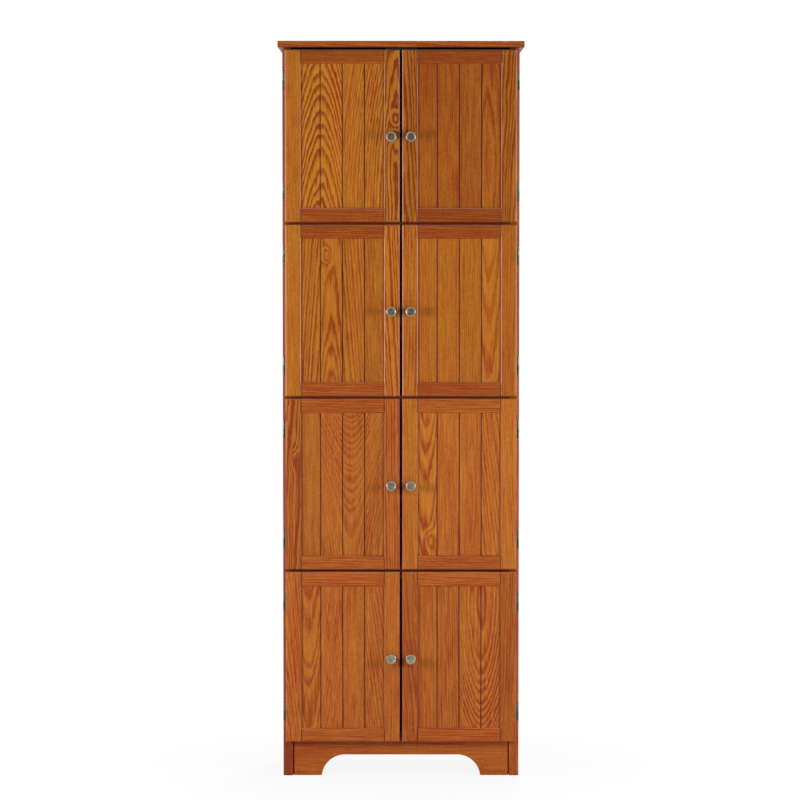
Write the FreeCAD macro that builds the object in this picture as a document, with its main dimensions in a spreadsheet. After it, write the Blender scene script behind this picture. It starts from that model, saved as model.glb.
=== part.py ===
"""Tall storage cabinet: four tiers of paired panel doors on a narrow carcass with an arched base.

Millimetres. +Z is up and the doors face -Y. The origin lies on the floor, under the middle of the
cabinet's overall box, knobs included. The left half is modelled and the right half mirrors it.
"""
import FreeCAD
import Part
import os
import re

import Sketcher

# Driving dimensions, one spreadsheet cell each
SIZES = {
    # Carcass boards
    "cabinet_height": 1829.0,
    "carcass_width": 588.0,
    "carcass_depth": 292.0,
    "side_thickness": 24.0,
    "side_edge_radius": 7.0,
    "top_thickness": 16.0,
    "top_side_overhang": 11.0,
    "top_front_overhang": 25.0,
    "top_edge_radius": 2.5,
    "shelf_thickness": 16.0,
    "back_thickness": 3.0,
    "back_inset": 1.2,
    "back_lap": 10.0,
    "back_play": 0.3,
    "back_seam": 1.0,
    # Arched apron below the lowest doors
    "apron_height": 96.0,
    "apron_thickness": 18.0,
    "apron_setback": 3.0,
    "apron_end_gap": 2.8,
    "apron_rebate": 9.0,
    "arch_width": 396.0,
    "arch_rise": 52.0,
    "arch_radius": 58.0,
    # Doors
    "door_thickness": 18.0,
    "door_floor_gap": 86.6,
    "door_top_gap": 4.5,
    "door_row_gap": 5.3,
    "door_centre_gap": 4.5,
    "door_edge_radius": 6.0,
    "stile_width": 39.5,
    "rail_width": 35.5,
    "frame_inner_radius": 2.0,
    "panel_thickness": 5.5,
    "panel_recess": 4.5,
    "panel_tongue": 8.0,
    "panel_play": 0.3,
    "bead_spacing": 54.7,
    "bead_width": 3.2,
    "bead_depth": 2.0,
    # Lift-off hinges
    "hinge_height": 46.0,
    "hinge_inset": 76.0,
    "hinge_axis_inset": 2.5,
    "knuckle_diameter": 6.0,
    "knuckle_sink": 0.8,
    "knuckle_gap": 0.3,
    "knuckle_door_gap": 1.25,
    "hinge_pin_diameter": 3.0,
    "hinge_pin_clearance": 0.05,
    "leaf_width": 15.0,
    "leaf_thickness": 1.2,
    "leaf_clearance": 0.6,
    "hinge_screw_spacing": 28.0,
    "hinge_screw_bite": 12.0,
    # Knobs
    "knob_diameter": 26.0,
    "knob_projection": 25.0,
    "knob_base_diameter": 15.0,
    "knob_base_thickness": 2.0,
    "knob_neck_diameter": 10.0,
    "knob_neck_length": 9.0,
    "knob_rim_thickness": 6.5,
    "knob_rim_radius": 2.4,
    "knob_dish_diameter": 18.5,
    "knob_dish_depth": 1.4,
    "knob_edge_distance": 22.0,
    "knob_drop": 2.5,
    "knob_screw_diameter": 4.0,
    "knob_screw_bite": 12.0,
    "knob_screw_head_diameter": 8.0,
    "knob_screw_head_height": 2.2,
    # Magnetic catches and their strike plates
    "catch_width": 78.0,
    "catch_height": 14.0,
    "catch_depth": 18.0,
    "catch_gap": 0.3,
    "catch_screw_spacing": 14.0,
    "magnet_width": 16.0,
    "magnet_height": 8.0,
    "magnet_depth": 9.0,
    "strike_width": 14.0,
    "strike_height": 24.0,
    "strike_thickness": 0.8,
    "strike_drop": 3.0,
    # Screws, nails and knock-down fittings
    "screw_diameter": 3.0,
    "screw_head_diameter": 6.0,
    "screw_head_height": 1.5,
    "panel_screw_bite": 10.0,
    "apron_screw_spacing": 180.0,
    "nail_diameter": 1.6,
    "nail_head_diameter": 4.5,
    "nail_head_height": 0.8,
    "nail_bite": 12.0,
    "nail_spacing": 190.0,
    "cam_diameter": 15.0,
    "cam_inset": 34.0,
    "cam_cover": 1.0,
    "cam_slot_length": 9.0,
    "cam_slot_width": 1.8,
    "cam_slot_depth": 1.5,
    "bolt_diameter": 6.0,
    "bolt_bite": 10.0,
    "dowel_diameter": 8.0,
    "dowel_bite": 10.0,
    "joint_inset": 50.0,
}

# Sizes and places that follow from the driving dimensions
DERIVED = {
    "side_height": "cabinet_height - top_thickness",
    "hinge_gap": "2 * leaf_thickness + leaf_clearance",
    "total_depth": "carcass_depth + hinge_gap + door_thickness + knob_projection",
    "back_y": "total_depth / 2",
    "front_y": "back_y - carcass_depth",
    "door_back_y": "front_y - hinge_gap",
    "door_front_y": "door_back_y - door_thickness",
    "inner_width": "carcass_width - 2 * side_thickness",
    "shelf_depth": "carcass_depth - back_thickness - back_inset",
    "back_panel_y": "front_y + shelf_depth",
    "knuckle_radius": "knuckle_diameter / 2",
    "axis_x": "-carcass_width / 2 + hinge_axis_inset",
    "axis_y": "front_y - knuckle_radius + knuckle_sink",
    "leaf_x": "axis_x + knuckle_radius + leaf_clearance",
    "door_x": "axis_x + knuckle_radius + knuckle_door_gap",
    "door_width": "-door_x - door_centre_gap / 2",
    "door_height": "(side_height - door_top_gap - door_floor_gap - 3 * door_row_gap) / 4",
    "rail_length": "door_width - 2 * stile_width",
    "tenon": "panel_tongue - panel_play",
    "knob_x": "-door_centre_gap / 2 - knob_edge_distance",
    "knob_z": "door_height / 2 - knob_drop",
    "strike_x": "-(door_centre_gap + stile_width) / 2",
    "strike_y": "door_back_y + strike_thickness",
    "strike_z": "door_height - strike_drop - strike_height / 2",
    "catch_y": "strike_y + catch_gap",
    "bottom_board_z": "apron_height",
    "arch_centre_x": "arch_width / 2 - sqrt(arch_radius ^ 2 - (arch_radius - arch_rise) ^ 2)",
    "shelf_cam_depth": "(shelf_thickness + bolt_diameter) / 2 + cam_cover",
    "side_cam_depth": "(side_thickness + bolt_diameter) / 2 + cam_cover",
    "seam_z": "shelf_2_z + shelf_thickness / 2",
}

# Door tiers from the top down, numbered from 1, and the fixed shelves below the first three
TIERS = ("top", "upper", "lower", "bottom")
SHELVES = {1: "upper_shelf", 2: "middle_shelf", 3: "lower_shelf"}
for number in range(1, len(TIERS) + 1):
    DERIVED[f"door_{number}_z"] = (f"side_height - door_top_gap - {number} * door_height"
                                   f" - {number - 1} * door_row_gap")
for number in SHELVES:
    DERIVED[f"shelf_{number}_z"] = f"door_{number}_z - (door_row_gap + shelf_thickness) / 2"

# Overshoot of a cutting tool past the face that it leaves by
CUT_MARGIN = 1.0

TO_BACK = FreeCAD.Rotation(FreeCAD.Vector(1, 0, 0), -90)
TO_FRONT = FreeCAD.Rotation(FreeCAD.Vector(1, 0, 0), 90)
TO_RIGHT = FreeCAD.Rotation(FreeCAD.Vector(0, 1, 0), 90)
TO_LEFT = FreeCAD.Rotation(FreeCAD.Vector(0, 1, 0), -90)
DOWNWARD = FreeCAD.Rotation(FreeCAD.Vector(1, 0, 0), 180)
UPRIGHT = FreeCAD.Rotation()

doc = FreeCAD.newDocument("tall_storage_cabinet")
sheet = doc.addObject("Spreadsheet::Sheet", "sizes")
for row, (alias, millimetres) in enumerate(SIZES.items(), 1):
    sheet.set(f"A{row}", alias)
    sheet.set(f"B{row}", str(millimetres))
    sheet.setAlias(f"B{row}", alias)
doc.recompute()

nodes = []


# Expressions and placements
def expand(text):
    """Write an expression in plain size names as one that the document can evaluate."""
    def name(match):
        word = match.group(0)
        if word in DERIVED:
            return f"({expand(DERIVED[word])})"
        return f"sizes.{word}" if word in SIZES else word
    return re.sub(r"[a-z_][a-z_0-9]*", name, text)


def number_of(text):
    """Give an expression's value in millimetres."""
    return float(sheet.evalExpression(expand(text)))


def bind(item, **properties):
    """Bind properties of an object to expressions."""
    for name, text in properties.items():
        item.setExpression(name, expand(text))


def place(item, x="0", y="0", z="0", rotation=UPRIGHT):
    """Turn an object, and bind its position to expressions."""
    item.Placement = FreeCAD.Placement(FreeCAD.Vector(), rotation)
    for axis, text in zip("xyz", (x, y, z)):
        if text != "0":
            item.setExpression(f"Placement.Base.{axis}", expand(text))
    return item


# Primitives, booleans and copies
def box(name, x, y, z, size_x, size_y, size_z):
    item = doc.addObject("Part::Box", name)
    bind(item, Length=size_x, Width=size_y, Height=size_z)
    return place(item, x, y, z)


def cylinder(name, radius, height, x="0", y="0", z="0", rotation=UPRIGHT):
    item = doc.addObject("Part::Cylinder", name)
    bind(item, Radius=radius, Height=height)
    return place(item, x, y, z, rotation)


def cut(name, base, *tools):
    for tool in tools:
        item = doc.addObject("Part::Cut", name)
        item.Base = base
        item.Tool = tool
        base = item
    return base


def fuse(name, *shapes):
    item = doc.addObject("Part::MultiFuse", name)
    item.Shapes = list(shapes)
    return item


def group(name, *items):
    item = doc.addObject("Part::Compound", name)
    item.Links = list(items)
    return item


def copy_at(source, x="0", y="0", z="0", rotation=UPRIGHT):
    return place(group(source.Name + "_copy", source), x, y, z, rotation)


def mirror(source, normal=(1, 0, 0), at="0"):
    """Mirror an object in the plane square to normal, at the given distance along it."""
    item = doc.addObject("Part::Mirroring", source.Name + "_mirror")
    item.Source = source
    item.Normal = FreeCAD.Vector(*normal)
    if at != "0":
        item.setExpression("Base." + "xyz"[normal.index(1)], expand(at))
    return item


def both_sides(name, source):
    """Group a left-hand object with its right-hand mirror image."""
    return group(name, source, mirror(source))


def node(label, item, solids=1):
    """Name a finished sub-part and say how many solids it holds."""
    item.Label = label
    nodes.append((item, solids))
    return item


# Sketched bodies
def outline(body, name, plane, points):
    """Draw a closed outline, each corner held by expressions, on one of the body's own planes."""
    sketch = body.newObject("Sketcher::SketchObject", name)
    sketch.AttachmentSupport = [(part, "") for part in body.Origin.OriginFeatures if part.Role == plane]
    sketch.MapMode = "FlatFace"
    corners = [FreeCAD.Vector(number_of(x), number_of(y), 0) for x, y in points]
    count = len(points)
    for index in range(count):
        sketch.addGeometry(Part.LineSegment(corners[index], corners[(index + 1) % count]))
    for index in range(count):
        sketch.addConstraint(Sketcher.Constraint("Coincident", index, 2, (index + 1) % count, 1))
    for index, (x, y) in enumerate(points):
        for text, kind, axis, value in ((x, "DistanceX", -2, corners[index].x),
                                        (y, "DistanceY", -1, corners[index].y)):
            if text == "0":
                sketch.addConstraint(Sketcher.Constraint("PointOnObject", index, 1, axis))
                continue
            held = sketch.addConstraint(Sketcher.Constraint(kind, -1, 1, index, 1, value))
            sketch.renameConstraint(held, f"{kind}{index}")
            sketch.setExpression(f"Constraints.{kind}{index}", expand(text))
    return sketch


def pad(body, name, plane, points, length, start="0"):
    """Extrude an outline along its plane's normal, from start."""
    sketch = outline(body, name + "_outline", plane, points)
    if start != "0":
        sketch.setExpression("AttachmentOffset.Base.z", expand(start))
    item = body.newObject("PartDesign::Pad", name)
    item.Profile = sketch
    bind(item, Length=length)
    doc.recompute()
    return item


def round_edges(body, name, radius, chosen):
    """Round the edges whose bounding box passes the test against the body's limits."""
    base = body.Tip
    limits = base.Shape.BoundBox
    edges = [f"Edge{index}" for index, edge in enumerate(base.Shape.Edges, 1)
             if chosen(edge.BoundBox, limits)]
    item = body.newObject("PartDesign::Fillet", name)
    item.Base = (base, edges)
    bind(item, Radius=radius)
    doc.recompute()
    return item


def new_body(name, x="0", y="0", z="0"):
    return place(doc.addObject("PartDesign::Body", name), x, y, z)


def rectangle(width, height):
    return [("0", "0"), (width, "0"), (width, height), ("0", height)]


def same(first, second):
    return abs(first - second) < 1e-4


# Fasteners, each modelled along +Z from its head and copied to where it is used
def countersunk_screw(name, diameter, head_diameter, head_height, length):
    head = doc.addObject("Part::Cone", name + "_head")
    bind(head, Radius1=f"{head_diameter} / 2", Radius2=f"{diameter} / 2", Height=head_height)
    shank = cylinder(name + "_shank", f"{diameter} / 2", f"{length} - {head_height}", z=head_height)
    return fuse(name, head, shank)


def flat_headed(name, diameter, head_diameter, head_height, length):
    """A pan-headed screw or a nail, its head standing proud below Z = 0."""
    head = cylinder(name + "_head", f"{head_diameter} / 2", head_height, z=f"-{head_height}")
    shank = cylinder(name + "_shank", f"{diameter} / 2", length)
    return fuse(name, head, shank)


hinge_screw = countersunk_screw("hinge_screw", "screw_diameter", "screw_head_diameter", "leaf_thickness",
                                "(leaf_thickness + hinge_screw_bite)")
catch_screw = countersunk_screw("catch_screw", "screw_diameter", "screw_head_diameter",
                                "screw_head_height", "(catch_height + panel_screw_bite)")
apron_screw = countersunk_screw("apron_screw", "screw_diameter", "screw_head_diameter",
                                "screw_head_height", "(shelf_thickness + 2 * panel_screw_bite)")
strike_screw = countersunk_screw("strike_screw", "screw_diameter", "screw_head_diameter",
                                 "strike_thickness", "(strike_thickness + panel_screw_bite)")
knob_screw = flat_headed("knob_screw", "knob_screw_diameter", "knob_screw_head_diameter",
                         "knob_screw_head_height", "(door_thickness + knob_screw_bite)")
back_nail = flat_headed("back_nail", "nail_diameter", "nail_head_diameter", "nail_head_height",
                        "(back_thickness + nail_bite)")

# Hinge, modelled on the left side panel's front edge about Z = 0
hinge_pin = cylinder("hinge_pin", "hinge_pin_diameter / 2", "hinge_height", "axis_x", "axis_y",
                     "-hinge_height / 2")
pin_bore = cylinder("pin_bore", "hinge_pin_diameter / 2 + hinge_pin_clearance", "hinge_height",
                    "axis_x", "axis_y", "-hinge_height / 2")


def hinge_leaf(name, leaf_y, knuckle_z, bore, screws):
    """A leaf with one knuckle rolled on half of its height, bored for the pin and the screws."""
    plate = box(name + "_plate", "leaf_x", leaf_y, "-hinge_height / 2",
                "leaf_width", "leaf_thickness", "hinge_height")
    half = "(hinge_height - knuckle_gap) / 2"
    root = box(name + "_root", "axis_x", leaf_y, knuckle_z, "leaf_x - axis_x", "leaf_thickness", half)
    knuckle = cylinder(name + "_knuckle", "knuckle_radius", half, "axis_x", "axis_y", knuckle_z)
    return cut(name, fuse(name + "_blank", plate, root, knuckle), bore, screws)


def hinge_screw_pair(name, head_y, rotation):
    return group(name, *(copy_at(hinge_screw, "leaf_x + leaf_width / 2", head_y,
                                 f"{side} * hinge_screw_spacing / 2", rotation) for side in (-1, 1)))


frame_screws = hinge_screw_pair("frame_screws", "front_y - leaf_thickness", TO_BACK)
door_screws = hinge_screw_pair("door_screws", "door_back_y + leaf_thickness", TO_FRONT)
frame_leaf = hinge_leaf("frame_leaf", "front_y - leaf_thickness", "-hinge_height / 2",
                        hinge_pin, frame_screws)
door_leaf = hinge_leaf("door_leaf", "door_back_y", "knuckle_gap / 2", pin_bore, door_screws)

hinge_heights = [f"door_{tier}_z + {level}" for tier in range(1, len(TIERS) + 1)
                 for level in ("hinge_inset", "door_height - hinge_inset")]
hinge_count = 2 * len(hinge_heights)


def on_every_hinge(name, source):
    return group(name, *(copy_at(source, z=height) for height in hinge_heights))


left_frame_screws = on_every_hinge("left_frame_screws", frame_screws)
node("frame_hinge_leaves", both_sides("all_leaves", on_every_hinge("left_leaves", frame_leaf)),
     hinge_count)
node("hinge_pins", both_sides("all_pins", on_every_hinge("left_pins", hinge_pin)), hinge_count)
node("frame_hinge_screws", both_sides("all_frame_screws", left_frame_screws), 2 * hinge_count)

# Knock-down joints between the boards: two cam locks with bolts and one dowel at each board end
joint_ys = ("front_y + joint_inset", "front_y + shelf_depth - joint_inset")
dowel_y = "front_y + shelf_depth / 2"


def cam_lock(name, bore):
    """A cam disc that fills its bore, with a cross slot for the screwdriver in its face on Z = 0."""
    slots = [box(name + "_slot", f"-{length} / 2", f"-{width} / 2", "0", length, width, "cam_slot_depth")
             for length, width in (("cam_slot_length", "cam_slot_width"),
                                   ("cam_slot_width", "cam_slot_length"))]
    return cut(name, bore, fuse(name + "_cross", *slots))


shelf_cam_bore = cylinder("shelf_cam_bore", "cam_diameter / 2", "shelf_cam_depth")
side_cam_bore = cylinder("side_cam_bore", "cam_diameter / 2", "side_cam_depth")
shelf_cam = cam_lock("shelf_cam", shelf_cam_bore)
side_cam = cam_lock("side_cam", side_cam_bore)
side_face_x = "-inner_width / 2"
side_middle_x = "-(inner_width + side_thickness) / 2"
shelf_middle_z = "shelf_thickness / 2"


# Shelf ends, on the left, with the shelf's underside at Z = 0
def at_shelf_ends(name, source):
    return group(name, *(copy_at(source, f"{side_face_x} + cam_inset", y) for y in joint_ys))


shelf_cams = at_shelf_ends("shelf_cams", shelf_cam)
shelf_cam_bores = at_shelf_ends("shelf_cam_bores", shelf_cam_bore)
shelf_bolts = group("shelf_bolts", *(
    cut("shelf_bolt", cylinder("shelf_bolt_rod", "bolt_diameter / 2", "bolt_bite + cam_inset",
                               f"{side_face_x} - bolt_bite", y, shelf_middle_z, TO_RIGHT),
        shelf_cam_bores) for y in joint_ys))
shelf_dowel = cylinder("shelf_dowel", "dowel_diameter / 2", "2 * dowel_bite",
                       f"{side_face_x} - dowel_bite", dowel_y, shelf_middle_z, TO_RIGHT)
board_levels = ["bottom_board_z"] + [f"shelf_{number}_z" for number in SHELVES]


def on_every_board(name, source):
    return group(name, *(copy_at(source, z=level) for level in board_levels))


left_shelf_bolts = on_every_board("left_shelf_bolts", shelf_bolts)
left_shelf_dowels = on_every_board("left_shelf_dowels", shelf_dowel)


# Head of the left side panel, under the top board
def at_side_head(name, source):
    return group(name, *(copy_at(source, side_face_x, y, "side_height - cam_inset", TO_LEFT)
                         for y in joint_ys))


top_cams = at_side_head("top_cams", side_cam)
top_cam_bores = at_side_head("top_cam_bores", side_cam_bore)
top_bolts = group("top_bolts", *(
    cut("top_bolt", cylinder("top_bolt_rod", "bolt_diameter / 2", "bolt_bite + cam_inset",
                             side_middle_x, y, "side_height - cam_inset"), top_cam_bores)
    for y in joint_ys))
top_dowel = cylinder("top_dowel", "dowel_diameter / 2", "2 * dowel_bite",
                     side_middle_x, dowel_y, "side_height - dowel_bite")

joint_count = 2 * (len(board_levels) + 1)
node("cam_locks", both_sides("all_cams", group("left_cams", on_every_board("left_shelf_cams", shelf_cams),
                                               top_cams)), 2 * joint_count)
node("cam_bolts", both_sides("all_bolts", group("left_bolts", left_shelf_bolts, top_bolts)),
     2 * joint_count)
node("dowels", both_sides("all_dowels", group("left_dowels", left_shelf_dowels, top_dowel)), joint_count)

# Nails of the back panels, into the side panels' rabbets and the boards' rear edges
nail_y = "back_panel_y + back_thickness"
side_nail_steps = (0.5, 1.5, 2.5, 3.5)
left_side_nails = group("left_side_nails", *(
    copy_at(back_nail, f"{side_face_x} - back_lap / 2", nail_y, f"seam_z + {way * step} * nail_spacing",
            TO_FRONT) for way in (-1, 1) for step in side_nail_steps))
seam_nail_rise = "(shelf_thickness / 4 + back_seam / 4)"
nail_levels = [f"{level} + shelf_thickness / 2" for level in board_levels if level != "shelf_2_z"]
nail_levels += [f"seam_z {sign} {seam_nail_rise}" for sign in "+-"]
board_nails = group("board_nails", *(
    copy_at(back_nail, f"{step} * nail_spacing", nail_y, level, TO_FRONT)
    for level in nail_levels for step in (-1, 0, 1)))
side_nails = both_sides("side_nails", left_side_nails)
all_nails = node("back_panel_nails", group("all_nails", side_nails, board_nails),
                 4 * len(side_nail_steps) + 3 * len(nail_levels))

# Magnetic catches, one under the board above each pair of doors, with the board's underside at Z = 0
catch_blank = box("catch_blank", "-catch_width / 2", "catch_y", "-catch_height",
                  "catch_width", "catch_depth", "catch_height")
magnet = box("magnet", "strike_x - magnet_width / 2", "catch_y", "-(catch_height + magnet_height) / 2",
             "magnet_width", "magnet_depth", "magnet_height")
magnets = both_sides("magnets", magnet)
catch_screws = group("catch_screws", *(
    copy_at(catch_screw, f"{side} * catch_screw_spacing / 2", "catch_y + catch_depth / 2", "-catch_height")
    for side in (-1, 1)))
catch_housing = cut("catch_housing", catch_blank, magnets, catch_screws)
ceilings = ["side_height"] + [f"shelf_{number}_z" for number in SHELVES]


def under_every_ceiling(name, source):
    return group(name, *(copy_at(source, z=level) for level in ceilings))


apron_screws = group("apron_screws", *(
    copy_at(apron_screw, f"{step} * apron_screw_spacing",
            "front_y + apron_setback + apron_thickness / 2", "bottom_board_z + shelf_thickness", DOWNWARD)
    for step in (-1, 0, 1)))
all_catch_screws = under_every_ceiling("all_catch_screws", catch_screws)
node("catch_housings", under_every_ceiling("all_housings", catch_housing), len(ceilings))
node("catch_magnets", under_every_ceiling("all_magnets", magnets), 2 * len(ceilings))
node("carcass_screws", group("all_carcass_screws", all_catch_screws, apron_screws),
     2 * len(ceilings) + 3)

# Top board, its free edges eased
top_body = new_body("top_body", "-carcass_width / 2 - top_side_overhang", "front_y - top_front_overhang",
                    "side_height")
pad(top_body, "top_slab", "XY_Plane",
    rectangle("carcass_width + 2 * top_side_overhang", "carcass_depth + top_front_overhang"),
    "top_thickness")
round_edges(top_body, "top_easing", "top_edge_radius",
            lambda edge, limits: not same(edge.YMin, limits.YMax))
node("top_board", cut("top_board_cut", top_body, both_sides("top_bolt_holes", top_bolts),
                      both_sides("top_dowel_holes", top_dowel), all_catch_screws))

# Side panels, rabbeted for the back and rounded at the outer front edge
side_body = new_body("side_body", "-carcass_width / 2", "front_y")
pad(side_body, "side_slab", "XY_Plane",
    [("0", "0"), ("side_thickness", "0"), ("side_thickness", "shelf_depth"),
     ("side_thickness - back_lap", "shelf_depth"), ("side_thickness - back_lap", "carcass_depth"),
     ("0", "carcass_depth")], "side_height")
round_edges(side_body, "side_rounding", "side_edge_radius",
            lambda edge, limits: same(edge.XMax, limits.XMin) and same(edge.YMax, limits.YMin))
left_side = node("left_side_panel", cut("left_side", side_body, left_frame_screws, left_shelf_bolts,
                                        left_shelf_dowels, top_cam_bores, top_bolts, top_dowel,
                                        left_side_nails))
node("right_side_panel", mirror(left_side))

# Fixed shelves and the bottom board, between the side panels
shelf_joints = both_sides("shelf_joints", group("left_shelf_joint", shelf_cam_bores,
                                                shelf_bolts, shelf_dowel))


def board(name):
    body = new_body(name + "_body", "-inner_width / 2", "front_y")
    pad(body, name + "_slab", "XY_Plane", rectangle("inner_width", "shelf_depth"), "shelf_thickness")
    return cut(name + "_blank", body, shelf_joints)


shelf_blank = board("shelf")
for number, shelf_name in SHELVES.items():
    raised = copy_at(shelf_blank, z=f"shelf_{number}_z")
    node(shelf_name, cut(shelf_name + "_cut", raised, all_catch_screws, board_nails))
raised_bottom = copy_at(shelf_blank, z="bottom_board_z")
node("bottom_board", cut("bottom_board_cut", raised_bottom, apron_screws, board_nails))

# Back panels, which meet behind the middle shelf
back_width = "inner_width + 2 * (back_lap - back_play)"
for back_name, low, high in (("lower_back_panel", "bottom_board_z", "seam_z - back_seam / 2"),
                             ("upper_back_panel", "seam_z + back_seam / 2", "side_height - back_play")):
    back_body = new_body(back_name + "_body", f"-({back_width}) / 2", "back_panel_y", low)
    pad(back_body, back_name + "_sheet", "XY_Plane", rectangle(back_width, "back_thickness"),
        f"{high} - ({low})")
    node(back_name, cut(back_name + "_cut", back_body, all_nails))

# Arched apron: a board with a flat arch cut from its lower edge, and rebated ends that leave a dark line beside
# each side panel
apron_y = "front_y + apron_setback"
apron_body = new_body("apron_body", "-inner_width / 2", apron_y)
apron_end = "inner_width - apron_end_gap"
apron_plan = [("apron_end_gap", "0"), (apron_end, "0"), (apron_end, "apron_rebate"),
              ("inner_width", "apron_rebate"), ("inner_width", "apron_thickness"), ("0", "apron_thickness"),
              ("0", "apron_rebate"), ("apron_end_gap", "apron_rebate")]
pad(apron_body, "apron_slab", "XY_Plane", apron_plan, "apron_height")
arch_depth = f"apron_thickness + {2 * CUT_MARGIN}"
arch_middle = box("arch_middle", "-arch_centre_x", f"{apron_y} - {CUT_MARGIN}", f"-{CUT_MARGIN}",
                  "2 * arch_centre_x", arch_depth, f"arch_rise + {CUT_MARGIN}")
arch_ends = [cylinder("arch_end", "arch_radius", arch_depth, f"{side} * arch_centre_x",
                      f"{apron_y} - {CUT_MARGIN}", "arch_rise - arch_radius", TO_BACK)
             for side in (-1, 1)]
node("base_apron", cut("base_apron_cut", apron_body, arch_middle, *arch_ends, apron_screws))

# Left door, standing on Z = 0
stile_body = new_body("stile_body", "door_x", "door_front_y")
groove_back = "panel_recess + panel_thickness"
groove_floor = "stile_width - panel_tongue"
pad(stile_body, "stile_bar", "XY_Plane",
    [("0", "0"), ("stile_width", "0"), ("stile_width", "panel_recess"), (groove_floor, "panel_recess"),
     (groove_floor, groove_back), ("stile_width", groove_back), ("stile_width", "door_thickness"),
     ("0", "door_thickness")], "door_height")
round_edges(stile_body, "stile_rounding", "door_edge_radius",
            lambda edge, limits: same(edge.YMax, limits.YMin) and not same(edge.XMin, limits.XMax))
round_edges(stile_body, "stile_easing", "frame_inner_radius",
            lambda edge, limits: same(edge.YMax, limits.YMin) and same(edge.XMin, limits.XMax))
meeting_stile = mirror(stile_body, at="door_x + door_width / 2")

rail_body = new_body("rail_body", "door_x + stile_width", "door_front_y")
groove_floor = "rail_width - panel_tongue"
pad(rail_body, "rail_bar", "YZ_Plane",
    [("0", "0"), ("door_thickness", "0"), ("door_thickness", "rail_width"), (groove_back, "rail_width"),
     (groove_back, groove_floor), ("panel_recess", groove_floor), ("panel_recess", "rail_width"),
     ("0", "rail_width")], "rail_length")
round_edges(rail_body, "rail_rounding", "door_edge_radius",
            lambda edge, limits: same(edge.YMax, limits.YMin) and same(edge.ZMax, limits.ZMin))
round_edges(rail_body, "rail_easing", "frame_inner_radius",
            lambda edge, limits: same(edge.YMax, limits.YMin) and same(edge.ZMin, limits.ZMax))
pad(rail_body, "rail_tenons", "YZ_Plane",
    [("panel_recess", "0"), (groove_back, "0"), (groove_back, groove_floor),
     ("panel_recess", groove_floor)], "rail_length + 2 * tenon", start="-tenon")
top_rail = mirror(rail_body, (0, 0, 1), "door_height / 2")

panel_width = "rail_length + 2 * tenon"
panel_body = new_body("panel_body", "door_x + stile_width - tenon", "door_front_y + panel_recess",
                      "rail_width - tenon")
panel_outline = [("0", "0")]
for step in (-1, 0, 1):
    middle = f"({panel_width}) / 2 + {step} * bead_spacing"
    panel_outline += [(f"{middle} - bead_width / 2", "0"), (middle, "bead_depth"),
                      (f"{middle} + bead_width / 2", "0")]
panel_outline += [(panel_width, "0"), (panel_width, "panel_thickness"), ("0", "panel_thickness")]
pad(panel_body, "panel_sheet", "XY_Plane", panel_outline, "door_height - 2 * (rail_width - tenon)")

# Turned knob with a dished face, held by a screw through the meeting stile
knob_body = new_body("knob_body", "knob_x", "door_front_y", "knob_z")
knob_body.Placement.Rotation = FreeCAD.Rotation(FreeCAD.Vector(0, 0, 1), 180)
knob_face = "knob_projection - knob_dish_depth"
knob_head = "knob_projection - knob_rim_thickness"
knob_sketch = outline(knob_body, "knob_outline", "XY_Plane", [
    ("knob_screw_diameter / 2", "0"), ("knob_base_diameter / 2", "0"),
    ("knob_base_diameter / 2", "knob_base_thickness"), ("knob_neck_diameter / 2", "2 * knob_base_thickness"),
    ("knob_neck_diameter / 2", "knob_neck_length"), ("knob_diameter / 2", knob_head),
    ("knob_diameter / 2", "knob_projection"), ("knob_dish_diameter / 2", "knob_projection"),
    ("knob_dish_diameter / 2 - knob_dish_depth / 2", knob_face), ("0", knob_face),
    ("0", "knob_screw_bite"), ("knob_screw_diameter / 2", "knob_screw_bite")])
knob_turning = knob_body.newObject("PartDesign::Revolution", "knob_turning")
knob_turning.Profile = knob_sketch
knob_turning.ReferenceAxis = (knob_sketch, ["V_Axis"])
knob_turning.Angle = 360
doc.recompute()
round_edges(knob_body, "knob_rounding", "knob_rim_radius",
            lambda edge, limits: same(edge.XLength, limits.XLength))

hinge_levels = ("hinge_inset", "door_height - hinge_inset")
left_door_leaves = group("left_door_leaves", *(copy_at(door_leaf, z=level) for level in hinge_levels))
left_door_screws = group("left_door_screws", *(copy_at(door_screws, z=level) for level in hinge_levels))
held_knob_screw = copy_at(knob_screw, "knob_x", "door_back_y", "knob_z", TO_FRONT)
held_strike_screw = copy_at(strike_screw, "strike_x", "strike_y", "strike_z", TO_FRONT)
strike_plate = cut("strike_plate", box("strike_blank", "strike_x - strike_width / 2", "door_back_y",
                                       "strike_z - strike_height / 2", "strike_width",
                                       "strike_thickness", "strike_height"), held_strike_screw)


# Every door: the left one's pieces raised to each tier, and their mirror images on the right
def on_every_door(piece_name, left_piece, solids=1):
    for hand, piece in (("left", left_piece), ("right", mirror(left_piece))):
        for number, tier in enumerate(TIERS, 1):
            node(f"{tier}_{hand}_door_{piece_name}", copy_at(piece, z=f"door_{number}_z"), solids)


on_every_door("frame", group("left_door_frame", cut("hinge_stile", stile_body, left_door_screws),
                             cut("knob_stile", meeting_stile, held_knob_screw, held_strike_screw),
                             rail_body, top_rail), solids=4)
on_every_door("panel", panel_body)
on_every_door("knob", knob_body)
on_every_door("hinge_leaves", left_door_leaves, solids=2)
on_every_door("fixings", group("left_door_fixings", left_door_screws, held_knob_screw, held_strike_screw,
                               strike_plate), solids=7)

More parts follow.
